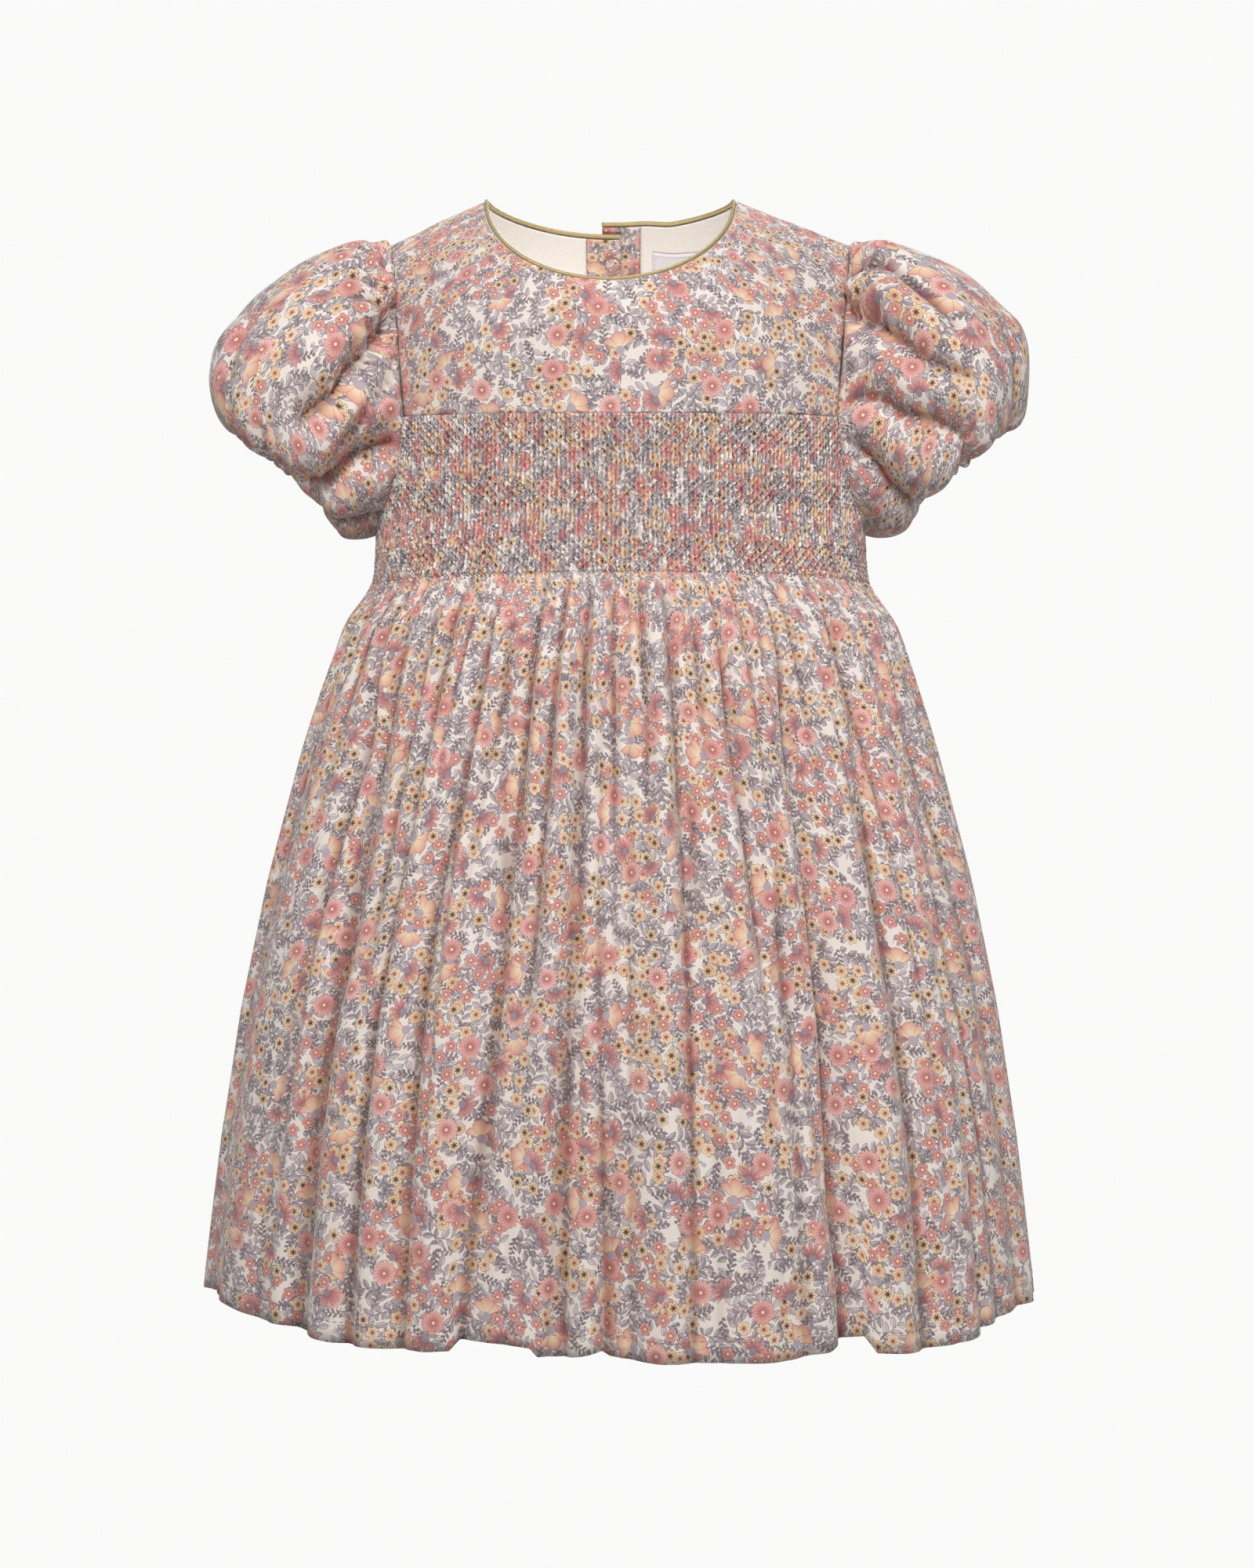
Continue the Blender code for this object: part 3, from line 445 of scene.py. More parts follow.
def scatter_group():
    """Shares the cloth into uneven cells and gives each point its place from the cell's middle."""
    w, given, give = new_group(
        "motif scatter",
        (("Vector", VECTOR), ("Cell", FLOAT), ("Lattice Turn", FLOAT), ("Looseness", FLOAT)),
        (("Local", VECTOR), ("Place", VECTOR), ("Random", VECTOR)),
    )
    turned = w.turned(given["Vector"], given["Lattice Turn"])
    scaled = w.scaled(turned, w.sum("DIVIDE", 1.0, given["Cell"]))
    cells = w.add("ShaderNodeTexVoronoi",
                  {"Vector": scaled, "Scale": 1.0, "Randomness": given["Looseness"]},
                  voronoi_dimensions="2D", feature="F1")
    local = w.scaled(w.vector("SUBTRACT", scaled, cells.outputs["Position"]), given["Cell"])
    random = w.vector("MULTIPLY", cells.outputs["Color"], (1.0, 1.0, 1.0))
    way = w.sum("MULTIPLY", w.split(random)[0], 2 * math.pi)
    w.feed(give["Local"], w.turned(local, way))
    w.feed(give["Place"], w.scaled(cells.outputs["Position"], given["Cell"]))
    w.feed(give["Random"], random)
    return w.tree


def blossom_group():
    """A round flower with scalloped petals."""
    w, given, give = new_group(
        "blossom",
        (("Local", VECTOR), ("Petals", FLOAT), ("Radius", FLOAT), ("Notch", FLOAT), ("Heart", FLOAT)),
        (("Inside", FLOAT), ("Line", FLOAT), ("Heart", FLOAT), ("Share", FLOAT),
         ("Streak", FLOAT)),
    )
    x, y, _ = w.split(given["Local"])
    far = w.vector("LENGTH", given["Local"])
    angle = w.sum("ARCTAN2", y, x)
    half_turns = w.sum("MULTIPLY", angle, w.sum("MULTIPLY", given["Petals"], 0.5))
    lobes = w.sum("ABSOLUTE", w.sum("COSINE", half_turns))
    soft_lobes = w.sum("SQRT", lobes)
    scallop = w.sum("MULTIPLY", given["Notch"], w.sum("SUBTRACT", soft_lobes, 1.0))
    edge = w.sum("MULTIPLY", given["Radius"], w.sum("ADD", scallop, 1.0))
    room = w.sum("SUBTRACT", edge, far)
    inside = w.ink(room)
    rim = w.ink(w.sum("SUBTRACT", INK_LINE, room))
    between = w.ink(w.sum("SUBTRACT", INK_LINE * 0.7, w.sum("MULTIPLY", lobes, far)))
    between = w.sum("MULTIPLY", between, 0.8)
    heart = w.ink(w.sum("SUBTRACT", w.sum("MULTIPLY", given["Radius"], given["Heart"]), far))
    w.feed(give["Inside"], inside)
    w.feed(give["Line"], w.sum("MULTIPLY", inside, w.sum("MAXIMUM", rim, between)))
    w.feed(give["Heart"], heart)
    share = w.sum("DIVIDE", far, edge, clamped=True)
    w.feed(give["Share"], share)
    ray = w.sum("SUBTRACT", w.sum("MULTIPLY_ADD", share, -0.9, lobes), 0.30)
    w.feed(give["Streak"], w.sum("MULTIPLY", ray, 6.0, clamped=True))
    return w.tree


def fan_group():
    """A flower seen from the side, on a small cup."""
    w, given, give = new_group(
        "side flower",
        (("Local", VECTOR), ("Radius", FLOAT), ("Lobes", FLOAT), ("Spread", FLOAT),
         ("Notch", FLOAT)),
        (("Inside", FLOAT), ("Line", FLOAT), ("Cup", FLOAT), ("Share", FLOAT)),
    )
    drop = w.add("ShaderNodeCombineXYZ", {"Y": w.sum("MULTIPLY", given["Radius"], 0.5)})
    lifted = w.vector("ADD", given["Local"], drop.outputs["Vector"])
    x, y, _ = w.split(lifted)
    far = w.vector("LENGTH", lifted)
    angle = w.sum("ARCTAN2", x, y)
    lobes = w.sum("ABSOLUTE", w.sum("COSINE", w.sum("MULTIPLY", angle, given["Lobes"])))
    dip = w.sum("MULTIPLY", given["Notch"], w.sum("SUBTRACT", w.sum("SQRT", lobes), 1.0))
    edge = w.sum("MULTIPLY", given["Radius"], w.sum("ADD", dip, 1.0))
    room = w.sum("SUBTRACT", edge, far)
    opening = w.sum("MULTIPLY", far, w.sum("SUBTRACT", given["Spread"], w.sum("ABSOLUTE", angle)))
    inside = w.sum("MULTIPLY", w.ink(room), w.ink(opening))
    rim = w.ink(w.sum("SUBTRACT", INK_LINE, w.sum("MINIMUM", room, opening)))
    stripe = w.ink(w.sum("SUBTRACT", INK_LINE * 0.7, w.sum("MULTIPLY", lobes, far)))
    w.feed(give["Inside"], inside)
    w.feed(give["Line"], w.sum("MULTIPLY", inside, w.sum("MAXIMUM", rim, stripe)))
    w.feed(give["Cup"], w.ink(w.sum("SUBTRACT", w.sum("MULTIPLY", given["Radius"], 0.24), far)))
    w.feed(give["Share"], w.sum("DIVIDE", far, edge, clamped=True))
    return w.tree


LEAF_TURN = math.radians(50)


def sprig_group():
    """A bent stem with leaves on both sides in turn."""
    w, given, give = new_group(
        "leafy sprig",
        (("Local", VECTOR), ("Reach", FLOAT), ("Leaf", FLOAT), ("Width", FLOAT), ("Pitch", FLOAT)),
        (("Leaf", FLOAT), ("Line", FLOAT), ("Lit Half", FLOAT)),
    )
    x, y, _ = w.split(given["Local"])
    bent = w.sum("SUBTRACT", y, w.sum("MULTIPLY", w.sum("MULTIPLY", x, x), 26.0))
    below = w.sum("LESS_THAN", bent, 0.0)
    along = w.sum("ADD", x, w.sum("MULTIPLY", below, w.sum("MULTIPLY", given["Pitch"], 0.5)))
    start = w.sum("MULTIPLY", given["Pitch"], -0.15)
    along = w.sum("WRAP", along, w.sum("ADD", start, given["Pitch"]), start)
    away = w.sum("ABSOLUTE", bent)
    ahead = w.sum("ADD", w.sum("MULTIPLY", along, math.cos(LEAF_TURN)),
                  w.sum("MULTIPLY", away, math.sin(LEAF_TURN)))
    aside = w.sum("SUBTRACT", w.sum("MULTIPLY", away, math.cos(LEAF_TURN)),
                  w.sum("MULTIPLY", along, math.sin(LEAF_TURN)))
    taper = w.sum("SUBTRACT", 1.0, w.sum("MULTIPLY", 0.45, w.sum("DIVIDE", w.sum("ABSOLUTE", x),
                                                              given["Reach"])))
    length = w.sum("MULTIPLY", given["Leaf"], taper)
    share = w.sum("SUBTRACT", w.sum("DIVIDE", w.sum("MULTIPLY", ahead, 2.0), length), 1.0)
    half_width = w.sum("MULTIPLY", w.sum("MULTIPLY", given["Width"], 0.5),
                       w.sum("SUBTRACT", 1.0, w.sum("MULTIPLY", share, share)))
    room = w.sum("SUBTRACT", half_width, w.sum("ABSOLUTE", aside))
    on_stem = w.ink(w.sum("SUBTRACT", given["Reach"], w.sum("ABSOLUTE", x)))
    leaf = w.sum("MULTIPLY", w.ink(room), on_stem)
    rim = w.ink(w.sum("SUBTRACT", INK_LINE * 0.8, room))
    vein = w.ink(w.sum("SUBTRACT", INK_LINE * 0.3, w.sum("ABSOLUTE", aside)))
    stem = w.sum("MULTIPLY", w.ink(w.sum("SUBTRACT", INK_LINE * 0.6, away)), on_stem)
    leaf_line = w.sum("MULTIPLY", leaf, w.sum("MAXIMUM", rim, vein))
    w.feed(give["Leaf"], leaf)
    w.feed(give["Line"], w.sum("MAXIMUM", leaf_line, stem))
    w.feed(give["Lit Half"], w.sum("GREATER_THAN", aside, 0.0))
    return w.tree


GROUND = rgb(238, 228, 220)
GROUND_SHADE = rgb(228, 217, 209)
DARK_LINE = rgb(88, 72, 78)
STEM_LINE = rgb(112, 98, 104)
LEAF_MAUVE = rgb(180, 167, 175)
LEAF_GREY = rgb(152, 139, 148)
LEAF_PALE = rgb(206, 196, 201)
OCHRE = rgb(228, 200, 156)
CREAM = rgb(239, 219, 186)
CORAL = rgb(216, 156, 141)
PINK = rgb(231, 184, 176)
BLUSH = rgb(221, 163, 155)
ROSE = rgb(184, 114, 113)
WINE = rgb(148, 94, 102)
BROWN_LINE = rgb(148, 100, 84)
REVERSE_TONE = rgb(226, 214, 208)

# Layers of the print, from the lowest up
SprigLayer = namedtuple("SprigLayer", "cell turn looseness reach leaf width pitch pale dark")
SPRIGS = (
    SprigLayer(0.0120, 0.35, 0.60, 0.0085, 0.0062, 0.0026, 0.0044, LEAF_PALE, LEAF_MAUVE),
    SprigLayer(0.0132, 1.15, 0.65, 0.0082, 0.0056, 0.0024, 0.0040, LEAF_MAUVE, LEAF_GREY),
    SprigLayer(0.0108, 2.05, 0.70, 0.0046, 0.0030, 0.0012, 0.0023, LEAF_GREY, STEM_LINE),
)
BlossomLayer = namedtuple(
    "BlossomLayer",
    "cell turn looseness petals radius notch heart patch rarity inner outer other heart_ink line")
BLOSSOMS = (
    BlossomLayer(0.0084, 0.20, 0.50, 5, 0.0032, 0.46, 0.22, 38, 0.54,
                 CORAL, CREAM, OCHRE, BROWN_LINE, BROWN_LINE),
    BlossomLayer(0.0080, 0.95, 0.45, 5, 0.0030, 0.46, 0.20, 34, 0.58,
                 ROSE, BLUSH, CORAL, CREAM, WINE),
    BlossomLayer(0.0100, 1.75, 0.60, 6, 0.0030, 0.50, 0.26, 46, 0.60,
                 BROWN_LINE, OCHRE, CREAM, DARK_LINE, BROWN_LINE),
    BlossomLayer(0.0215, 1.30, 0.65, 14, 0.0053, 0.34, 0.13, 60, 0.46,
                 ROSE, PINK, BLUSH, CREAM, ROSE),
)
FanLayer = namedtuple(
    "FanLayer", "cell turn looseness radius lobes spread notch rarity inner outer line cup")
FANS = (
    FanLayer(0.0225, 0.70, 0.75, 0.0066, 6.0, 1.45, 0.62, 0.40, WINE, BLUSH, WINE, LEAF_GREY),
    FanLayer(0.0290, 2.20, 0.75, 0.0084, 3.0, 1.05, 0.25, 0.38, CREAM, CORAL, ROSE, LEAF_MAUVE),
)


def print_group():
    """Small scattered flowers and leafy sprigs on an ecru ground."""
    scatter = scatter_group()
    blossom = blossom_group()
    fan = fan_group()
    sprig = sprig_group()
    w, given, give = new_group(
        "flower print", (("Vector", VECTOR), ("Fading", FLOAT)), (("Color", COLOUR),))

    def scattered(cell, turn, looseness):
        return w.add("ShaderNodeGroup", {
            "Vector": given["Vector"], "Cell": cell, "Lattice Turn": turn,
            "Looseness": looseness}, node_tree=scatter).outputs

    colour = w.blend(w.noise(given["Vector"], 60.0), GROUND, GROUND_SHADE)
    for layer in SPRIGS:
        spot = scattered(layer.cell, layer.turn, layer.looseness)
        shape = w.add("ShaderNodeGroup", {
            "Local": spot["Local"], "Reach": layer.reach, "Leaf": layer.leaf,
            "Width": layer.width, "Pitch": layer.pitch}, node_tree=sprig).outputs
        tone = w.blend(w.split(spot["Random"])[1], layer.pale, layer.dark)
        tone = w.blend(w.sum("MULTIPLY", shape["Lit Half"], 0.35), tone, GROUND)
        colour = w.blend(shape["Leaf"], colour, tone)
        colour = w.blend(w.sum("MULTIPLY", shape["Line"], 0.80), colour, STEM_LINE)
    for layer in BLOSSOMS:
        spot = scattered(layer.cell, layer.turn, layer.looseness)
        shape = w.add("ShaderNodeGroup", {
            "Local": spot["Local"], "Petals": float(layer.petals), "Radius": layer.radius,
            "Notch": layer.notch, "Heart": layer.heart}, node_tree=blossom).outputs
        grown = w.noise(spot["Place"], float(layer.patch), 0.0)
        shown = w.sum("GREATER_THAN", grown, layer.rarity)
        inside = w.sum("MULTIPLY", shape["Inside"], shown)
        far = w.sum("MULTIPLY_ADD", shape["Share"], 2.4, -0.45, clamped=True)
        outer = w.blend(w.split(spot["Random"])[2], layer.outer, layer.other)
        petal = w.blend(far, layer.inner, outer)
        petal = w.blend(w.sum("MULTIPLY", shape["Streak"], 0.75), petal, layer.inner)
        petal = w.blend(w.sum("MULTIPLY", shape["Line"], 0.8), petal, layer.line)
        petal = w.blend(shape["Heart"], petal, layer.heart_ink)
        colour = w.blend(inside, colour, petal)
    for layer in FANS:
        spot = scattered(layer.cell, layer.turn, layer.looseness)
        shape = w.add("ShaderNodeGroup", {
            "Local": spot["Local"], "Radius": layer.radius, "Lobes": layer.lobes,
            "Spread": layer.spread, "Notch": layer.notch}, node_tree=fan).outputs
        shown = w.sum("GREATER_THAN", w.split(spot["Random"])[1], layer.rarity)
        petal = w.blend(w.sum("POWER", shape["Share"], 1.6), layer.inner, layer.outer)
        petal = w.blend(w.sum("MULTIPLY", shape["Line"], 0.8), petal, layer.line)
        colour = w.blend(w.sum("MULTIPLY", shape["Inside"], shown), colour, petal)
        colour = w.blend(w.sum("MULTIPLY", shape["Cup"], shown), colour, layer.cup)
    w.feed(give["Color"], w.blend(given["Fading"], colour, REVERSE_TONE))
    return w.tree


def weave_group():
    """Fine uneven threads and soft crinkles, as a height."""
    w, given, give = new_group(
        "cotton weave", (("Vector", VECTOR), ("Crinkle", FLOAT)), (("Height", FLOAT), ("Slub", FLOAT)))
    fine = w.noise(given["Vector"], 1500.0, 1.0)
    soft = w.noise(given["Vector"], 130.0, 2.0)
    broad = w.sum("MULTIPLY", soft, given["Crinkle"])
    w.feed(give["Height"], w.sum("ADD", w.sum("MULTIPLY", fine, 0.25), broad))
    w.feed(give["Slub"], w.noise(given["Vector"], 420.0, 2.0))
    return w.tree


PRINT = print_group()
WEAVE = weave_group()


def new_material(name):
    made = bpy.data.materials.new(name)
    made.use_nodes = True
    shader = made.node_tree.nodes["Principled BSDF"]
    return made, Wiring(made.node_tree), shader


def cloth_finish(name, shift, colour=None, fading=0.0, crinkle=1.0, reed=0.0):
    """Printed cotton, or plain cotton where a colour is given, on the piece's own cloth map.

    Smocked cloth gives the width of a reed: shade is painted darker between the reeds, with a painted
    speckle of highlight and shadow over the puckers.
    """
    made, w, shader = new_material(name)
    spot = w.add("ShaderNodeUVMap", uv_map="cloth").outputs["UV"]
    spot = w.vector("ADD", spot, (*shift, 0.0))
    weave = w.add("ShaderNodeGroup", {"Vector": spot, "Crinkle": crinkle}, node_tree=WEAVE).outputs
    if colour is None:
        base = w.add("ShaderNodeGroup", {"Vector": spot, "Fading": fading},
                     node_tree=PRINT).outputs["Color"]
    else:
        base = w.blend(0.0, colour, colour)
    shade = w.sum("MULTIPLY_ADD", weave["Slub"], 0.10, 0.95)
    if reed:
        # Painted shade: the colour is darkened in the valley between each pair of reeds
        beat = w.sum("COSINE", w.sum("MULTIPLY", w.split(spot)[0], 2 * math.pi / reed))
        shade = w.sum("MULTIPLY", shade, w.sum("MULTIPLY_ADD", beat, -0.22, 0.86))
        # Painted highlight and shadow: a fine speckle brightens and darkens the colour as if lit bumps
        # of the puckers
        painted_pucker_speckle = w.sum("MULTIPLY_ADD", w.noise(spot, 620.0, 1.0), 1.3, 0.38)
        shade = w.sum("MULTIPLY", shade, painted_pucker_speckle)
    tinted = w.vector("MULTIPLY", base, w.add(
        "ShaderNodeCombineXYZ", {"X": shade, "Y": shade, "Z": shade}).outputs["Vector"])
    # Painted shade: the colour is darkened towards warm brown in the valleys of the folds, as marked
    # per point on the piece
    painted_fold_shade = w.add("ShaderNodeAttribute", attribute_name="painted_fold_shade").outputs["Fac"]
    tinted = w.blend(painted_fold_shade, tinted, w.vector("MULTIPLY", tinted, PAINTED_FOLD_SHADE_TONE))
    w.feed(shader.inputs["Base Color"], tinted)
    bump = w.add("ShaderNodeBump", {"Height": weave["Height"], "Strength": 0.25,
                                    "Distance": 0.0005})
    w.feed(shader.inputs["Normal"], bump.outputs["Normal"])
    shader.inputs["Roughness"].default_value = 0.82
    shader.inputs["Specular IOR Level"].default_value = 0.25
    shader.inputs["Sheen Weight"].default_value = 0.25
    shader.inputs["Sheen Roughness"].default_value = 0.5
    return made


def thread_finish(name, colour, roughness=0.6, metallic=0.0, strand_scale=900.0):
    made, w, shader = new_material(name)
    spot = w.add("ShaderNodeTexCoord").outputs["Object"]
    fibre = w.noise(spot, strand_scale, 2.0, "3D")
    dark = tuple(part * 0.6 for part in colour[:3]) + (1.0,)
    w.feed(shader.inputs["Base Color"], w.blend(fibre, dark, colour))
    bump = w.add("ShaderNodeBump", {"Height": fibre, "Strength": 0.4, "Distance": 0.0002})
    w.feed(shader.inputs["Normal"], bump.outputs["Normal"])
    shader.inputs["Roughness"].default_value = roughness
    shader.inputs["Metallic"].default_value = metallic
    return made


WHITE = rgb(240, 236, 230)
ECRU_THREAD = thread_finish("ecru thread", rgb(226, 214, 190))
GREY_THREAD = thread_finish("grey thread", rgb(150, 142, 138))
GOLD_THREAD = thread_finish("gold thread", rgb(214, 194, 142), 0.42, 0.55)
SHELL = thread_finish("pale shell", rgb(232, 226, 214), 0.25, 0.0, 260.0)
# Painted shade for the holes of the shell buttons
HOLE_PAINTED_SHADE = thread_finish("painted button hole shade", rgb(70, 62, 58), 0.8)
LABEL_TONE = rgb(226, 221, 228)


# ---- cloth ----

def painted_fold_shade_mask(points, reach, edges="edge"):
    """How deep each point of a grid lies between its neighbours along the row, from 0 to 1, as the
    mask of painted shade in the folds.
    """
    wide = np.pad(points, ((0, 0), (reach, reach), (0, 0)), mode=edges)
    total = np.cumsum(wide, axis=1)
    smooth = (total[:, 2 * reach:] - total[:, :-2 * reach]) / (2 * reach)
    behind = ((smooth - points) * outward(points)).sum(axis=-1)
    return ease(behind / FOLD_SHADE_DEPTH)


def cloth_object(name, node, points, lengths, finishes, closed=False, painted_fold_shade=None):
    """A sheet on a grid of points: rows run up and columns to the right, as seen from outside."""
    rows, columns = points.shape[0] - 1, points.shape[1] - 1
    mesh = bmesh.new()
    bmesh.ops.create_grid(mesh, x_segments=columns, y_segments=rows, size=0.5)
    data = bpy.data.meshes.new(name)
    mesh.to_mesh(data)
    mesh.free()
    spots = np.empty(len(data.vertices) * 3)
    data.vertices.foreach_get("co", spots)
    spots = spots.reshape(-1, 3)
    column = np.rint((spots[:, 0] + 0.5) * columns).astype(int)
    row = np.rint((spots[:, 1] + 0.5) * rows).astype(int)
    data.vertices.foreach_set("co", points[row, column].ravel())
    corners = np.empty(len(data.loops), dtype=int)
    data.loops.foreach_get("vertex_index", corners)
    layer = data.uv_layers.new(name="cloth")
    layer.data.foreach_set("uv", lengths[row, column][corners].ravel())
    # Painted shade in the folds, kept on each point for the material to darken by
    if painted_fold_shade is not None:
        depth = data.attributes.new("painted_fold_shade", "FLOAT", "POINT")
        depth.data.foreach_set("value", painted_fold_shade[row, column].ravel())
    if closed:
        mesh = bmesh.new()
        mesh.from_mesh(data)
        bmesh.ops.remove_doubles(mesh, verts=mesh.verts, dist=0.000002)
        mesh.to_mesh(data)
        mesh.free()
    for finish in finishes:
        data.materials.append(finish)
    data.shade_smooth()
    piece = bpy.data.objects.new(name, data)
    bpy.context.scene.collection.objects.link(piece)
    wall = piece.modifiers.new("wall", "SOLIDIFY")
    wall.thickness = CLOTH
    wall.offset = -1.0
    wall.material_offset = len(finishes) - 1
    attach(piece, "root")
    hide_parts(node)
    return piece


def cloth_map(points, from_middle=True):
    """Cloth lengths across and up a grid: across leaves out height, so edges may slope."""
    across = np.linalg.norm(np.diff(points[..., :2], axis=1), axis=-1)
    across = np.concatenate((np.zeros((len(points), 1)), np.cumsum(across, axis=1)), axis=1)
    if from_middle:
        across = across - across[:, -1:] / 2
    up = np.linalg.norm(np.diff(points, axis=0), axis=-1)
    up = np.concatenate((np.zeros((1, points.shape[1])), np.cumsum(up, axis=0)), axis=0)
    return np.stack((across, up), axis=-1)


def band_edge(z):
    """Angle at which the smocked band ends on the armhole or the side seam."""
    if z <= UNDERARM_Z:
        return math.pi / 2
    x = float(armhole_x(z))
    return math.atan2(x, float(chest_depth(x, z)))


def lattice_strength(z):
    total = 0.0
    for zone in LATTICE:
        total = max(total, float(ease((zone.top - z) / LATTICE_FADE + 0.5)
                                 * ease((z - zone.low) / LATTICE_FADE + 0.5)))
    return total


def band_grid():
    """Points and normals of the smocked band, from its last stitches up to the chest seam."""
    columns = REEDS * REED_COLUMNS
    column = np.arange(columns + 1)
    turn = column / columns
    beat = column % REED_COLUMNS
    crest = -np.cos(2 * math.pi * beat / REED_COLUMNS)
    way = np.where(column // REED_COLUMNS % 2 == 0, 1.0, -1.0) * (1 + crest) / 2
    rows = []
    rests = []
    for row in range(BAND_ROWS + 1):
        level = mix(WAIST_Z, CHEST_SEAM_Z, row / BAND_ROWS)
        edge = band_edge(level)
        angles = even_angles(level, -math.pi / 2, math.pi / 2, columns)
        step = math.pi / REEDS
        lattice = lattice_strength(level)
        phase = 2 * math.pi * (BAND_ROWS - row) / LATTICE_ROWS
        tremble = 0.22 * uneven(turn, REEDS, 40 + row // 2)
        angles = angles + step * (way * LATTICE_LEAN * lattice * math.cos(phase) + tremble)
        angles = np.clip(angles, -edge, edge)
        sag = CHEST_SEAM_SAG * clamp((level - WAIST_Z) / (CHEST_SEAM_Z - WAIST_Z))
        z = level - sag * (1 - (angles / edge) ** 2)
        rests.append(section_points(angles, z, section_radius(angles, z)))
        pinch = 1 - 0.45 * lattice * (0.5 + 0.5 * math.cos(2 * phase))
        fullness = uneven(turn, REEDS, 11 + row // 3, 0.70, 1.20)
        ends = 0.3 + 0.7 * ease((CHEST_SEAM_Z - level) / 0.002)
        rows.append(REED_DEPTH * crest * pinch * fullness * ends)
    rests = np.array(rests)
    smooth = section_normals(rests)
    return rests + smooth * (np.array(rows) + 0.0003)[..., None], smooth


def section_normals(points):
    """Level outward directions of points on the body's sections."""
    half_width, half_depth, squareness = body_row(points[..., 2])
    x, y = points[..., 0], points[..., 1]
    flat = np.stack((
        np.sign(x) * (np.abs(x) / half_width) ** (squareness - 1) / half_width,
        np.sign(y) * (np.abs(y) / half_depth) ** (squareness - 1) / half_depth,
        0.0 * x,
    ), axis=-1)
    return flat / np.maximum(np.linalg.norm(flat, axis=-1, keepdims=True), 1e-9)


def band_map(points):
    rows, columns = points.shape[:2]
    across = np.linspace(-FRONT_CUT / 2, FRONT_CUT / 2, columns)
    up = np.linspace(WAIST_Z, CHEST_SEAM_Z, rows)
    return np.stack(np.broadcast_arrays(across[None, :], up[:, None]), axis=-1)


def thread_stitches(name, places, finish):
    """Many small stitches as one piece: each has a middle, a way, an outward way and a length."""
    mesh = bmesh.new()
    for middle, way, out, length, radius in places:
        way = Vector(way).normalized()
        out = Vector(out)
        aside = out.cross(way).normalized()
        out = way.cross(aside).normalized()
        turn = Matrix((way, aside, out)).transposed().to_4x4()
        size = Matrix.Diagonal((length / 2, radius, radius, 1.0))
        bmesh.ops.create_uvsphere(mesh, u_segments=5, v_segments=4, radius=1.0,
                                  matrix=Matrix.Translation(middle) @ turn @ size)
    data = bpy.data.meshes.new(name)
    mesh.to_mesh(data)
    mesh.free()
    data.shade_smooth()
    data.materials.append(finish)
    piece = bpy.data.objects.new(name, data)
    bpy.context.scene.collection.objects.link(piece)
    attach(piece, "root")
    return piece


def make_smocking_stitches(points, normals):
    """Uneven stitches that catch neighbouring reeds together, in turn along each row."""
    chance = np.random.default_rng(7)
    pale, grey = [], []
    for row in range(2, BAND_ROWS):
        down = BAND_ROWS - row
        if down % 2 or lattice_strength(mix(WAIST_Z, CHEST_SEAM_Z, row / BAND_ROWS)) < 0.5:
            continue
        start = 0 if down % LATTICE_ROWS == 0 else 1
        for reed in range(start, REEDS - 1, 2):
            first = points[row, reed * REED_COLUMNS + 2]
            second = points[row, (reed + 1) * REED_COLUMNS + 2]
            choice, longer, wider, slant = chance.uniform(0, 1, 4)
            if np.linalg.norm(second - first) < 0.0004 or choice < 0.2:
                continue
            out = normals[row, reed * REED_COLUMNS + 4]
            middle = (first + second) / 2 + out * STITCH_RADIUS * 0.6
            way = second - first
            way[2] += 0.0014 * (slant - 0.5)
            thread = grey if choice < 0.4 else pale
            thread.append((middle, way, out, STITCH_LENGTH * (0.7 + 0.5 * longer),
                           STITCH_RADIUS * (0.8 + 0.5 * wider)))
    for name, places, finish in (("smocking_stitches", pale, ECRU_THREAD),
                                 ("smocking_shade_stitches", grey, GREY_THREAD)):
        thread_stitches(name, places, finish)


def gather_height(turn, z, reeds):
    """Height of the gathers at cloth turns from 0 to 1 on one row."""
    total = 0.0 * turn
    below = [-level for level in GATHER_LEVELS]
    for gather in GATHERS:
        height = np.interp(-z, below, gather.heights)
        drift = 0.55 * uneven(turn, gather.waves // 3, gather.seed)
        wander = 0.30 * uneven(turn, gather.waves, gather.seed + 1) * ease((WAIST_Z - z) / 0.2)
        beat = turn * gather.waves + drift + wander
        wave = 2 * np.sqrt(np.sin(math.pi * beat) ** 2 + 0.006) - 1.25
        fullness = uneven(turn, gather.waves, gather.seed + 2, 0.45, 1.35)
        total = total + height * wave * fullness
    strength = REED_DEPTH * 0.9 * (1 - ease((WAIST_Z - z) / 0.010))
    total = total - strength * np.cos(2 * math.pi * reeds * turn)
    return total * ease(np.minimum(turn, 1 - turn) / 0.02)


def skirt_grid(first, last, columns, levels, reeds, top=None):
    """Rows of the skirt between two angles, with each row shared evenly along the cloth."""
    rows = []
    turn = np.linspace(0, 1, columns * 3 + 1)
    for z in levels:
        angles = even_angles(z, first, last, columns * 3)
        radius = section_radius(angles, z) - trough_depth(angles, z) + gather_height(turn, z, reeds)
        points = section_points(angles, z + hem_lift(angles, z), radius)
        reach = path_lengths(points)
        wanted = np.linspace(0, reach[-1], columns + 1)
        rows.append(np.stack([np.interp(wanted, reach, points[:, axis]) for axis in range(3)],
                             axis=-1))
    if top is not None:
        rows[-1] = top
    return np.array(rows)


def skirt_map(points, width):
    rows, columns = points.shape[:2]
    across = np.linspace(-width / 2, width / 2, columns)
    middle = np.linalg.norm(np.diff(points[:, columns // 4], axis=0), axis=-1)
    up = np.concatenate(((0.0,), np.cumsum(middle)))
    up = up - up[-1] + WAIST_Z
    return np.stack(np.broadcast_arrays(across[None, :], up[:, None]), axis=-1)


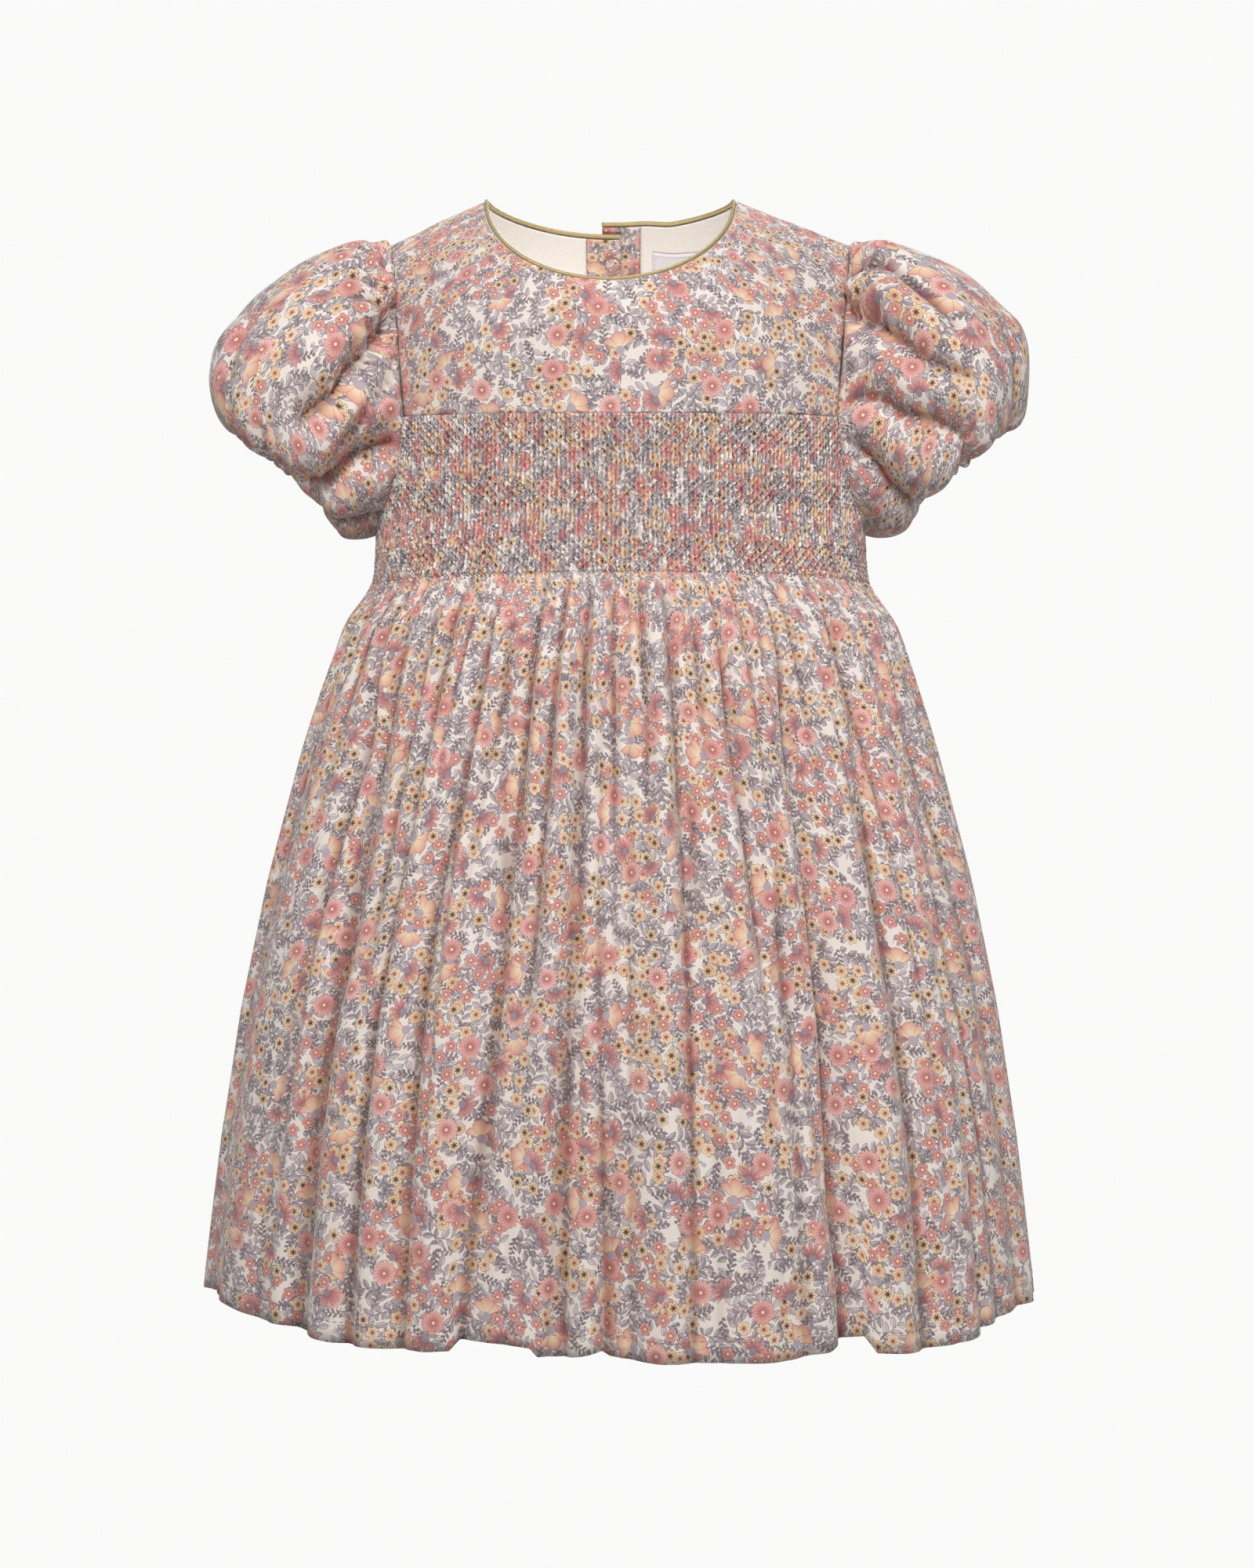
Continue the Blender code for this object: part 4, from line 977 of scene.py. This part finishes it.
def skirt_levels(rows):
    share = np.linspace(1, 0, rows + 1) ** 1.35
    return mix(WAIST_Z, HEM_Z, share)


def printed(key, shift, crinkle=1.0, reed=0.0):
    """Face and paler reverse of the printed cotton, shifted so that no two pieces match."""
    face = cloth_finish(f"printed cotton {key}", shift, crinkle=crinkle, reed=reed)
    back = cloth_finish(f"printed cotton reverse {key}", shift, fading=0.55, crinkle=crinkle)
    return face, back


def make_front_panel():
    finishes = printed("front panel", (0.0, 0.0), 0.6)
    points, normals = band_grid()
    make_smocking_stitches(points, normals)
    smocked = printed("smocking", (0.0, 0.0), 0.6, FRONT_CUT / REEDS)
    band = cloth_object("smocked_band", "front_smocked_panel", points, band_map(points), smocked,
                        closed=True)
    points = skirt_grid(-math.pi / 2, math.pi / 2, REEDS * REED_COLUMNS, skirt_levels(76), REEDS,
                        top=points[0])
    make_hem_stitches("front", points)
    skirt = cloth_object("front_skirt", "front_smocked_panel", points,
                         skirt_map(points, FRONT_CUT), finishes, painted_fold_shade=painted_fold_shade_mask(points, 9))


def make_back_skirt():
    points = skirt_grid(math.pi / 2, 3 * math.pi / 2, 370, skirt_levels(80), 0)
    make_hem_stitches("back", points)
    skirt = cloth_object("back_skirt", "skirt_back", points, skirt_map(points, BACK_CUT),
                         printed("back skirt", (0.9, 0.3)), painted_fold_shade=painted_fold_shade_mask(points, 6))


def yoke_tops(columns):
    """Points along the top of the front yoke: a shoulder, the neck and the other shoulder."""
    side = columns // 5
    left_neck_x = NECK_CENTRE_X - NECK_HALF_WIDTH
    right_neck_x = NECK_CENTRE_X + NECK_HALF_WIDTH
    left = np.linspace(-SHOULDER_TIP_X, left_neck_x, side + 1)[:-1]
    right = np.linspace(right_neck_x, SHOULDER_TIP_X, side + 1)[1:]
    angle = np.linspace(0, math.pi, columns - 2 * side + 1)
    neck_x = NECK_CENTRE_X - NECK_HALF_WIDTH * np.cos(angle)
    neck_z = NECK_POINT_Z - FRONT_NECK_DROP * np.sin(angle)
    x = np.concatenate((left, neck_x, right))
    z = np.concatenate((shoulder_height(left), neck_z, shoulder_height(right)))
    return x, z


def yoke_grid(columns, rows):
    top_x, top_z = yoke_tops(columns)
    low_x = np.linspace(-CHEST_SEAM_X, CHEST_SEAM_X, len(top_x))
    low_z = CHEST_SEAM_Z - CHEST_SEAM_SAG * (1 - (low_x / CHEST_SEAM_X) ** 2)
    lines = []
    for row in range(rows + 1):
        share = 1 - (1 - row / rows) ** 1.5
        lines.append(chest_points(mix(low_x, top_x, share), mix(low_z, top_z, share), -1))
    return np.array(lines)


def make_yoke():
    points = yoke_grid(160, 70)
    x, z = points[..., 0], points[..., 2]
    turn = (x + SHOULDER_TIP_X) / (2 * SHOULDER_TIP_X)
    strain = 0.0004 * uneven(turn, 9, 21) * ease((z - CHEST_SEAM_Z) / 0.03)
    strain = strain + 0.0003 * uneven(turn + 0.8 * (z - CHEST_SEAM_Z), 23, 22)
    points = points + outward(points) * strain[..., None]
    yoke = cloth_object("front_yoke", "yoke_front", points, cloth_map(points),
                        printed("yoke", (0.31, 0.12)))


def back_neck_z(x, side):
    across = clamp(np.abs(x - NECK_CENTRE_X) / NECK_HALF_WIDTH)
    return NECK_POINT_Z - BACK_NECK_DROP[side] * (1 - across * across) ** BACK_NECK_POWER


def back_top_z(x, side):
    inside = np.abs(x - NECK_CENTRE_X) <= NECK_HALF_WIDTH
    return np.where(inside, back_neck_z(x, side), shoulder_height(x))


def back_surface(x, z, side, depth=0.0):
    """Points of one half of the back, moved in by a depth: the right half rises at the lap."""
    def plain(x, z):
        points = chest_points(x, z, 1)
        points[..., 1] = np.maximum(points[..., 1], SEAM_GAP / 2)
        return points
    step = 0.0015
    along = plain(x + step, z) - plain(x - step, z)
    up = plain(x, z) - plain(x, z - step)
    normals = np.cross(up, along)
    normals /= np.maximum(np.linalg.norm(normals, axis=-1, keepdims=True), 1e-9)
    lift = 0.0 * x
    if side > 0:
        lift = LAP_LIFT * (1 - ease((x - LAP_FLAT_X) / (LAP_BLEND_X - LAP_FLAT_X)))
    return plain(x, z) + normals * (lift - depth)[..., None], normals


def back_grid(side, columns, rows, first_x, last_x=None, depth=0.0):
    """Grid from the waist up to neck and shoulder, from one x to another or to the armhole."""
    share = np.linspace(0, 1, columns + 1)
    tip = side * SHOULDER_TIP_X if last_x is None else last_x
    top_x = mix(first_x, tip, share)
    top_z = back_top_z(top_x, side)
    lines = []
    for rise in 1 - (1 - np.linspace(0, 1, rows + 1)) ** 1.3:
        level = mix(WAIST_Z, SHOULDER_TIP_Z, rise)
        if last_x is None:
            half = armhole_x(level) if level >= UNDERARM_Z else body_row(level)[0]
            far_x = side * half
        else:
            far_x = last_x
        lines.append((mix(first_x, far_x, share), mix(WAIST_Z, top_z, rise)))
    x = np.array([line[0] for line in lines])
    z = np.array([line[1] for line in lines])
    points, _ = back_surface(x, z, side, np.full_like(x, depth))
    return points[:, ::-1] if side > 0 else points


def make_back():
    white = cloth_finish("white lawn", (0.0, 0.0), WHITE)
    for word, side, shift in (("left", -1, 0.4), ("right", 1, 1.7)):
        points = back_grid(side, 84, 96, LAP_EDGE_X[side])
        bodice = cloth_object(f"bodice_back_{word}", f"back_bodice_{word}", points,
                              cloth_map(points), printed(f"back {word}", (shift, 0.5)))
        start = LAP_EDGE_X[side] + side * SEAM_GAP
        points = back_grid(side, 14, 90, start, FACING_EDGE_X[side], LINING_DEPTH)
        facing = cloth_object(f"facing_{word}", f"back_facing_{word}", points, cloth_map(points),
                              (cloth_finish(f"printed cotton facing {word}", (shift, 1.1)),))
        start = FACING_EDGE_X[side] + side * SEAM_GAP
        points = back_grid(side, 60, 80, start, None, LINING_DEPTH)
        lining = cloth_object(f"lining_{word}", f"back_lining_{word}", points,
                              cloth_map(points), (white,))


# ---- sleeves ----

def armhole_curve(side, turns):
    """The armhole seam at turns from the shoulder tip down the front and up the back."""
    swing = np.cos(np.linspace(0, math.pi, 200))
    z = mix(UNDERARM_Z, SHOULDER_TIP_Z, (swing + 1) / 2)
    x = side * armhole_x(z)
    runs = []
    for facing in (-1, 1):
        points = chest_points(x, z, facing)
        points[0, 1] = 0.0
        points[-1, 1] = 0.0
        reach = path_lengths(points)
        runs.append((reach / reach[-1], points))
    front = np.minimum(turns * 2, 1.0)
    behind = np.clip(2 - turns * 2, 0.0, 1.0)
    result = np.empty((len(turns), 3))
    for axis in range(3):
        result[:, axis] = np.where(
            turns <= 0.5,
            np.interp(front, runs[0][0], runs[0][1][:, axis]),
            np.interp(behind, runs[1][0], runs[1][1][:, axis]))
    return result


def sleeve_rings(side, turns):
    angle = 2 * math.pi * turns
    rings = [armhole_curve(side, turns)]
    for ring in SLEEVE:
        more = ring.right_more if side > 0 else 0.0
        top = np.array((side * (ring.top_x + more), 0.0, ring.top_z))
        low = np.array((side * ring.low_x, 0.0, ring.low_z))
        around = np.outer(np.cos(angle), (top - low) / 2)
        around[:, 1] -= np.sin(angle) * ring.half_depth
        rings.append((top + low) / 2 + around)
    return np.array(rings)


def smooth_rows(rings, spots):
    """Rows between the rings, on a smooth curve through them."""
    last = len(rings) - 1
    knot = np.minimum(np.floor(spots).astype(int), last - 1)
    share = (spots - knot)[:, None, None]
    before = rings[np.maximum(knot - 1, 0)]
    first = rings[knot]
    second = rings[knot + 1]
    after = rings[np.minimum(knot + 2, last)]
    return 0.5 * (2 * first + (second - before) * share
                  + (2 * before - 5 * first + 4 * second - after) * share ** 2
                  + (3 * first - before - 3 * second + after) * share ** 3)


def sleeve_relief(side, turns, spots):
    """Height of folds, gathers and puckers over the puff: spots run from 0 to 9 along it."""
    turn, spot = np.meshgrid(turns, spots)
    seed = 60 if side < 0 else 80
    total = 0.0 * turn
    for crease in CREASES:
        if crease.side != side:
            continue
        rings = [ring for _, ring in crease.path]
        centre = np.interp(spot, rings, [place for place, _ in crease.path])
        along = (spot - rings[0]) / (rings[-1] - rings[0])
        away = ((turn - centre + 0.5) % 1 - 0.5) / crease.width
        strength = ease(along * 5 + 0.75) * ease((1.12 - along) * 3.5)
        trough = 0.5 * np.exp(-(away ** 2)) + 0.6 * np.exp(-np.sqrt((away / 0.35) ** 2 + 0.05))
        swell = np.exp(-(((away + 2.4) / 1.5) ** 2)) + 0.4 * np.exp(-(((away - 2.2) / 1.4) ** 2))
        total += crease.depth * strength * (crease.lip * swell - trough)
    cap = ease((np.cos(2 * math.pi * turn) + 0.55) / 1.1)
    wander = 0.5 * uneven(turn, 14, seed) + 0.25 * np.sin(spot * 1.3 + 9 * turn)
    beat = 34 * turn + wander
    pleats = 2 * np.sqrt(np.sin(math.pi * beat) ** 2 + 0.03) - 1.2
    cap_height = 0.0021 * ease(spot / 0.30) * (1 - ease((spot - 0.3) / 2.0))
    total += cap * cap_height * pleats * uneven(turn, 30, seed + 1, 0.5, 1.4)
    beat = 22 * turn + 0.6 * uneven(turn, 11, seed + 2) + 0.12 * np.sin(spot * 2.1)
    pucker = 2 * np.sqrt(np.sin(math.pi * beat) ** 2 + 0.03) - 1.2
    edge_height = 0.0024 * ease((spot - 6.0) / 2.4)
    total += edge_height * pucker * uneven(turn, 22, seed + 3, 0.4, 1.4)
    soft = uneven((turn + 0.06 * spot) % 1.0, 12, seed + 4) * uneven(spot / 9, 6, seed + 5)
    total += 0.0016 * soft * ease(spot / 1.5)
    return total * ease(spot / 0.25)


def make_sleeve(word, side):
    turns = np.linspace(0, 1, 221)
    spots = 9 * np.linspace(0, 1, 91) ** 0.92
    points = smooth_rows(sleeve_rings(side, turns), spots)
    wrapped = np.concatenate((points[:, -2:-1], points, points[:, 1:2]), axis=1)
    normals = outward(wrapped)[:, 1:-1]
    middle = points.mean(axis=(0, 1))
    if ((points[20:60] - middle) * normals[20:60]).sum() < 0:
        normals = -normals
    relief = sleeve_relief(side, turns, spots)
    relief[:, -1] = relief[:, 0]
    points = points + normals * relief[..., None]
    points[:, -1] = points[:, 0]
    across = np.linspace(0, 0.37, len(turns))
    steps = np.linalg.norm(np.diff(points[:, ::10], axis=0), axis=-1).mean(axis=1)
    along = np.concatenate(((0.0,), np.cumsum(steps)))
    lengths = np.stack(np.broadcast_arrays(across[None, :], -along[:, None]), axis=-1)
    if side < 0:
        points = points[:, ::-1]
        lengths = lengths[:, ::-1]
    sleeve = cloth_object(f"puff_sleeve_{word}", f"sleeve_{word}", points, lengths,
                          printed(f"sleeve {word}", (2.3 + side, 0.7)), closed=True,
                          painted_fold_shade=painted_fold_shade_mask(points, 5, "wrap"))
    return sleeve


# ---- cord, label, buttons and stitches ----

def resampled(points, step):
    """The same route with its points a step apart."""
    reach = path_lengths(points)
    wanted = np.linspace(0, reach[-1], int(reach[-1] / step) + 1)
    return np.stack([np.interp(wanted, reach, points[:, axis]) for axis in range(3)], axis=-1)


def unit(vectors):
    return vectors / np.maximum(np.linalg.norm(vectors, axis=-1, keepdims=True), 1e-12)


def neck_route():
    """Middle of the cord from the left end at the back round the front to the right end."""
    angle = np.linspace(0, math.pi, 121)
    front = chest_points(NECK_CENTRE_X - NECK_HALF_WIDTH * np.cos(angle),
                         NECK_POINT_Z - FRONT_NECK_DROP * np.sin(angle), -1)
    front[:, 1] += WALL / 2 * np.sin(angle)
    halves = []
    for side in (-1, 1):
        share = np.sin(np.linspace(0, math.pi / 2, 61))
        x = mix(LAP_EDGE_X[side], NECK_CENTRE_X + side * NECK_HALF_WIDTH, share)
        points, _ = back_surface(x, back_neck_z(x, side), side, np.full_like(x, WALL / 2))
        halves.append(points[:-1])
    route = resampled(np.concatenate((halves[0], front, halves[1][::-1])), CORD_STEP)
    for _ in range(12):
        route[1:-1] = (route[:-2] + 2 * route[1:-1] + route[2:]) / 4
    along = unit(np.gradient(route, axis=0))
    to_middle = np.array((NECK_CENTRE_X, 0.0, NECK_POINT_Z + 0.018)) - route
    away = unit(to_middle - along * (to_middle * along).sum(axis=1, keepdims=True))
    return route + away * (CORD_RADIUS + CORD_GAP), along, away


def add_curve(name, routes, radius, finish):
    curve = bpy.data.curves.new(name, "CURVE")
    curve.dimensions = "3D"
    curve.bevel_depth = radius
    curve.bevel_resolution = 1
    curve.use_fill_caps = True
    for route in routes:
        spline = curve.splines.new("POLY")
        spline.points.add(len(route) - 1)
        spline.points.foreach_set("co", np.hstack((route, np.ones((len(route), 1)))).ravel())
    curve.materials.append(finish)
    piece = bpy.data.objects.new(name, curve)
    bpy.context.scene.collection.objects.link(piece)
    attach(piece, "root")
    return piece


def make_cord():
    """Gold cord of three strands, twisted together."""
    route, along, away = neck_route()
    aside = np.cross(along, away)
    reach = np.arange(len(route)) * CORD_STEP
    strands = []
    for strand in range(CORD_STRANDS):
        turn = 2 * math.pi * (reach / CORD_PITCH + strand / CORD_STRANDS)
        strands.append(route + CORD_RADIUS / 2 * (np.cos(turn)[:, None] * away
                                                  + np.sin(turn)[:, None] * aside))
    cord = add_curve("neck_cord_twist", strands, CORD_RADIUS * 0.56, GOLD_THREAD)
    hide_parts("neck_cord")


def back_spot(x, z, side, depth):
    """One point of the back and its outward direction."""
    points, normals = back_surface(np.array([x]), np.array([z]), side, np.array([depth]))
    return Vector(points[0]), Vector(normals[0])


def stitch_line(corners, side, depth, pitch, length, radius):
    """Places of running stitches on the inside of the back, along a line of (x, z) corners."""
    line = resampled(np.array([(x, 0.0, z) for x, z in corners]), pitch)
    places = []
    for first, second in zip(line, line[1:]):
        middle = (first + second) / 2
        point, out = back_spot(middle[0], middle[2], side, depth)
        ahead, _ = back_spot(second[0], second[2], side, depth)
        places.append((point, ahead - point, -out, length, radius))
    return places


def make_label():
    """Blank woven label on the right half of the lining, with its stitched outline."""
    depth = LINING_DEPTH + INNER_LAYER + SEAM_GAP
    x, z = np.meshgrid(np.linspace(*LABEL_X, 31)[::-1], np.linspace(*LABEL_Z, 21))
    points, _ = back_surface(x, z, 1, np.full_like(x, depth))
    label = cloth_object("label", "label_blank", points, cloth_map(points),
                         (cloth_finish("label tape", (0.0, 0.0), LABEL_TONE),))
    left, right = LABEL_X[0] + STITCH_INSET, LABEL_X[1] - STITCH_INSET
    low, top = LABEL_Z[0] + STITCH_INSET, LABEL_Z[1] - STITCH_INSET
    places = stitch_line(((left, low), (left, top), (right, top), (right, low), (left, low)),
                         1, depth + CLOTH, 0.0019, 0.0012, 0.00014)
    thread_stitches("label_stitches", places, GREY_THREAD)


def make_facing_stitches():
    places = []
    for side in (-1, 1):
        for inset in (-0.0012, 0.0012):
            x = FACING_EDGE_X[side] + inset
            top = float(back_neck_z(np.array(x), side)) - 0.002
            depth = LINING_DEPTH + CLOTH
            places += stitch_line(((x, top), (x, WAIST_Z + 0.002)), side, depth,
                                  0.0026, 0.0016, 0.00013)
    thread_stitches("facing_stitches", places, ECRU_THREAD)


def make_hem_stitches(word, points):
    """Running stitches along a skirt piece, a hem's depth above its edge."""
    level = int(np.argmin(np.abs(points[:, points.shape[1] // 2, 2] - HEM_Z - HEM_DEPTH)))
    line = mix(points[level - 1], points[level], 0.5)
    normals = outward(points)[level]
    places = []
    step = len(line) // HEM_STITCHES
    for start in range(step, len(line) - 2 * step, step):
        way = line[start + 1] - line[start - 1]
        places.append((line[start] + normals[start] * 0.0001, way, normals[start],
                       0.0021, 0.00016))
    thread_stitches(f"hem_stitches_{word}", places, GREY_THREAD)


def lathe(name, profile, turn, finish):
    """A round piece spun from an outline of (radius, height) that starts and ends on its axis."""
    mesh = bmesh.new()
    spots = [mesh.verts.new((radius, 0.0, height)) for radius, height in profile]
    edges = [mesh.edges.new(pair) for pair in zip(spots, spots[1:])]
    bmesh.ops.spin(mesh, geom=spots + edges, cent=(0.0, 0.0, 0.0), axis=(0.0, 0.0, 1.0),
                   angle=2 * math.pi, steps=40, use_merge=True)
    bmesh.ops.remove_doubles(mesh, verts=mesh.verts, dist=0.000002)
    bmesh.ops.recalc_face_normals(mesh, faces=mesh.faces)
    layer = mesh.loops.layers.uv.new("cloth")
    for face in mesh.faces:
        face.smooth = True
        for corner in face.loops:
            corner[layer].uv = corner.vert.co.xy * BUTTON_PRINT_SCALE
    bmesh.ops.transform(mesh, matrix=turn, verts=mesh.verts)
    data = bpy.data.meshes.new(name)
    mesh.to_mesh(data)
    mesh.free()
    data.materials.append(finish)
    piece = bpy.data.objects.new(name, data)
    bpy.context.scene.collection.objects.link(piece)
    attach(piece, "root")
    return piece


def standing(point, normal):
    turn = normal.to_track_quat("Z", "Y").to_matrix().to_4x4()
    turn.translation = point
    return turn


def make_buttons():
    rim = BUTTON_RADIUS
    outline = ((0.0, 0.0), (0.88 * rim, 0.0), (rim, 0.0006), (rim, 0.0017), (0.93 * rim, 0.0023),
               (0.82 * rim, 0.0024), (0.72 * rim, 0.0021), (0.64 * rim, 0.0016), (0.0, 0.0015))
    thread = []
    for number, z in enumerate(BUTTON_LEVELS, 1):
        point, normal = back_spot(BUTTON_X, z, 1, 0.0)
        turn = standing(point + normal * SEAM_GAP, normal)
        button = lathe(f"shell_button_{number}", outline, turn, SHELL)
        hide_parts(f"button_back_{number}")
        # Painted shade: thin dark discs on the button's face stand for the shadow inside its four
        # holes
        holes = bmesh.new()
        for x, y in ((-1, -1), (-1, 1), (1, -1), (1, 1)):
            place = Matrix.Translation((x * HOLE_SPREAD, y * HOLE_SPREAD, 0.0016))
            bmesh.ops.create_cone(holes, cap_ends=True, segments=12, radius1=HOLE_RADIUS,
                                  radius2=HOLE_RADIUS * 0.7, depth=0.0002, matrix=turn @ place)
        data = bpy.data.meshes.new(f"painted_button_hole_shade_{number}")
        holes.to_mesh(data)
        holes.free()
        data.materials.append(HOLE_PAINTED_SHADE)
        piece = bpy.data.objects.new(f"painted_button_hole_shade_{number}", data)
        bpy.context.scene.collection.objects.link(piece)
        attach(piece, "root")
        for x in (-1, 1):
            for aside in (-0.25, 0.25):
                middle = turn @ Vector((x * HOLE_SPREAD + aside * HOLE_RADIUS * 2, 0.0, 0.00185))
                thread.append((middle, turn.to_3x3() @ Vector((0.0, 1.0, 0.0)), normal,
                               2.6 * HOLE_SPREAD, 0.00024))
    thread_stitches("button_thread", thread, ECRU_THREAD)
    depth = WALL + 2 * SEAM_GAP + INNER_LAYER
    point, normal = back_spot(COVERED_BUTTON_X, COVERED_BUTTON_Z, -1, depth)
    rim = COVERED_BUTTON_RADIUS
    outline = ((0.0, 0.0), (0.85 * rim, 0.0), (0.97 * rim, 0.0003), (rim, 0.0008),
               (0.93 * rim, 0.0013), (0.72 * rim, 0.0017), (0.40 * rim, 0.0020), (0.0, 0.0021))
    turn = standing(point, -normal)
    button = lathe("covered_button", outline, turn,
                   cloth_finish("printed cotton button", (0.013, 0.021)))
    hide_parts("button_inside")
    angle = np.linspace(math.radians(-60), math.radians(235), 40)
    loop = [turn @ Vector((LOOP_RADIUS * math.cos(a), LOOP_RADIUS * math.sin(a), 0.0006))
            for a in angle]
    loop = add_curve("button_loop", [np.array(loop)], 0.00028, GREY_THREAD)


# ---- floor, light and camera ----

def make_stage():
    mesh = bmesh.new()
    bmesh.ops.create_grid(mesh, x_segments=1, y_segments=1, size=4.0,
                          matrix=Matrix.Translation((0.0, 0.0, HEM_Z - 0.125)))
    data = bpy.data.meshes.new("pale_floor")
    mesh.to_mesh(data)
    mesh.free()
    finish, w, shader = new_material("pale floor")
    shader.inputs["Base Color"].default_value = (0.40, 0.40, 0.39, 1.0)
    shader.inputs["Roughness"].default_value = 0.9
    glow = w.add("ShaderNodeEmission", {"Color": (0.955, 0.955, 0.95, 1.0), "Strength": 1.0})
    seen = w.add("ShaderNodeLightPath").outputs["Is Camera Ray"]
    both = w.add("ShaderNodeMixShader", {0: seen, 1: shader.outputs[0], 2: glow.outputs[0]})
    output = next(n for n in finish.node_tree.nodes if n.type == "OUTPUT_MATERIAL")
    w.feed(output.inputs["Surface"], both.outputs[0])
    data.materials.append(finish)
    floor = bpy.data.objects.new("pale_floor", data)
    bpy.context.scene.collection.objects.link(floor)
    world = bpy.data.worlds.new("soft studio")
    bpy.context.scene.world = world
    world.use_nodes = True
    w = Wiring(world.node_tree)
    background = world.node_tree.nodes["Background"]
    seen = w.add("ShaderNodeLightPath").outputs["Is Camera Ray"]
    w.feed(background.inputs["Color"], w.blend(seen, (0.80, 0.81, 0.83, 1.0),
                                               (0.955, 0.955, 0.95, 1.0)))
    w.feed(background.inputs["Strength"], w.sum("MULTIPLY_ADD", seen, 0.66, 0.34))


Lamp = namedtuple("Lamp", "name place aim size power colour")
LAMPS = (
    Lamp("key", (-0.15, -1.50, 1.00), (0.0, 0.0, -0.22), 0.45, 26.0, (1.0, 0.98, 0.95)),
    Lamp("fill", (0.90, -1.40, 0.10), (0.0, 0.0, -0.25), 0.9, 4.5, (0.97, 0.98, 1.0)),
    Lamp("rim", (0.10, 1.10, 0.90), (0.0, 0.0, -0.20), 1.0, 7.0, (1.0, 1.0, 1.0)),
    Lamp("back", (0.30, 1.60, 0.50), (0.0, 0.0, -0.25), 0.7, 13.0, (1.0, 0.99, 0.97)),
    Lamp("inside", (-0.003, -0.030, -0.120), (-0.003, 0.050, -0.010), 0.08, 0.10,
         (1.0, 0.99, 0.97)),
)


def make_lights():
    for lamp in LAMPS:
        data = bpy.data.lights.new(lamp.name, "AREA")
        data.shape = "DISK"
        data.size = lamp.size
        data.energy = lamp.power
        data.color = lamp.colour
        light = bpy.data.objects.new(lamp.name, data)
        light.location = lamp.place
        way = Vector(lamp.aim) - Vector(lamp.place)
        light.rotation_euler = way.to_track_quat("-Z", "Y").to_euler()
        bpy.context.scene.collection.objects.link(light)


CAMERA_PLACE = (0.003, -1.35, -0.265)
HALF_FRAME_HEIGHT = 0.373


def make_camera():
    data = bpy.data.cameras.new("camera")
    data.sensor_fit = "VERTICAL"
    data.angle = 2 * math.atan(HALF_FRAME_HEIGHT / -CAMERA_PLACE[1])
    data.clip_start = 0.05
    camera = bpy.data.objects.new("camera", data)
    camera.location = CAMERA_PLACE
    camera.rotation_euler = (math.pi / 2, 0.0, 0.0)
    bpy.context.scene.collection.objects.link(camera)
    bpy.context.scene.camera = camera


make_camera()
make_lights()
make_stage()
bpy.context.scene.view_settings.view_transform = "Standard"
make_front_panel()
make_back_skirt()
make_yoke()
make_back()
make_sleeve("left", -1)
make_sleeve("right", 1)
make_cord()
make_label()
make_facing_stitches()
make_buttons()
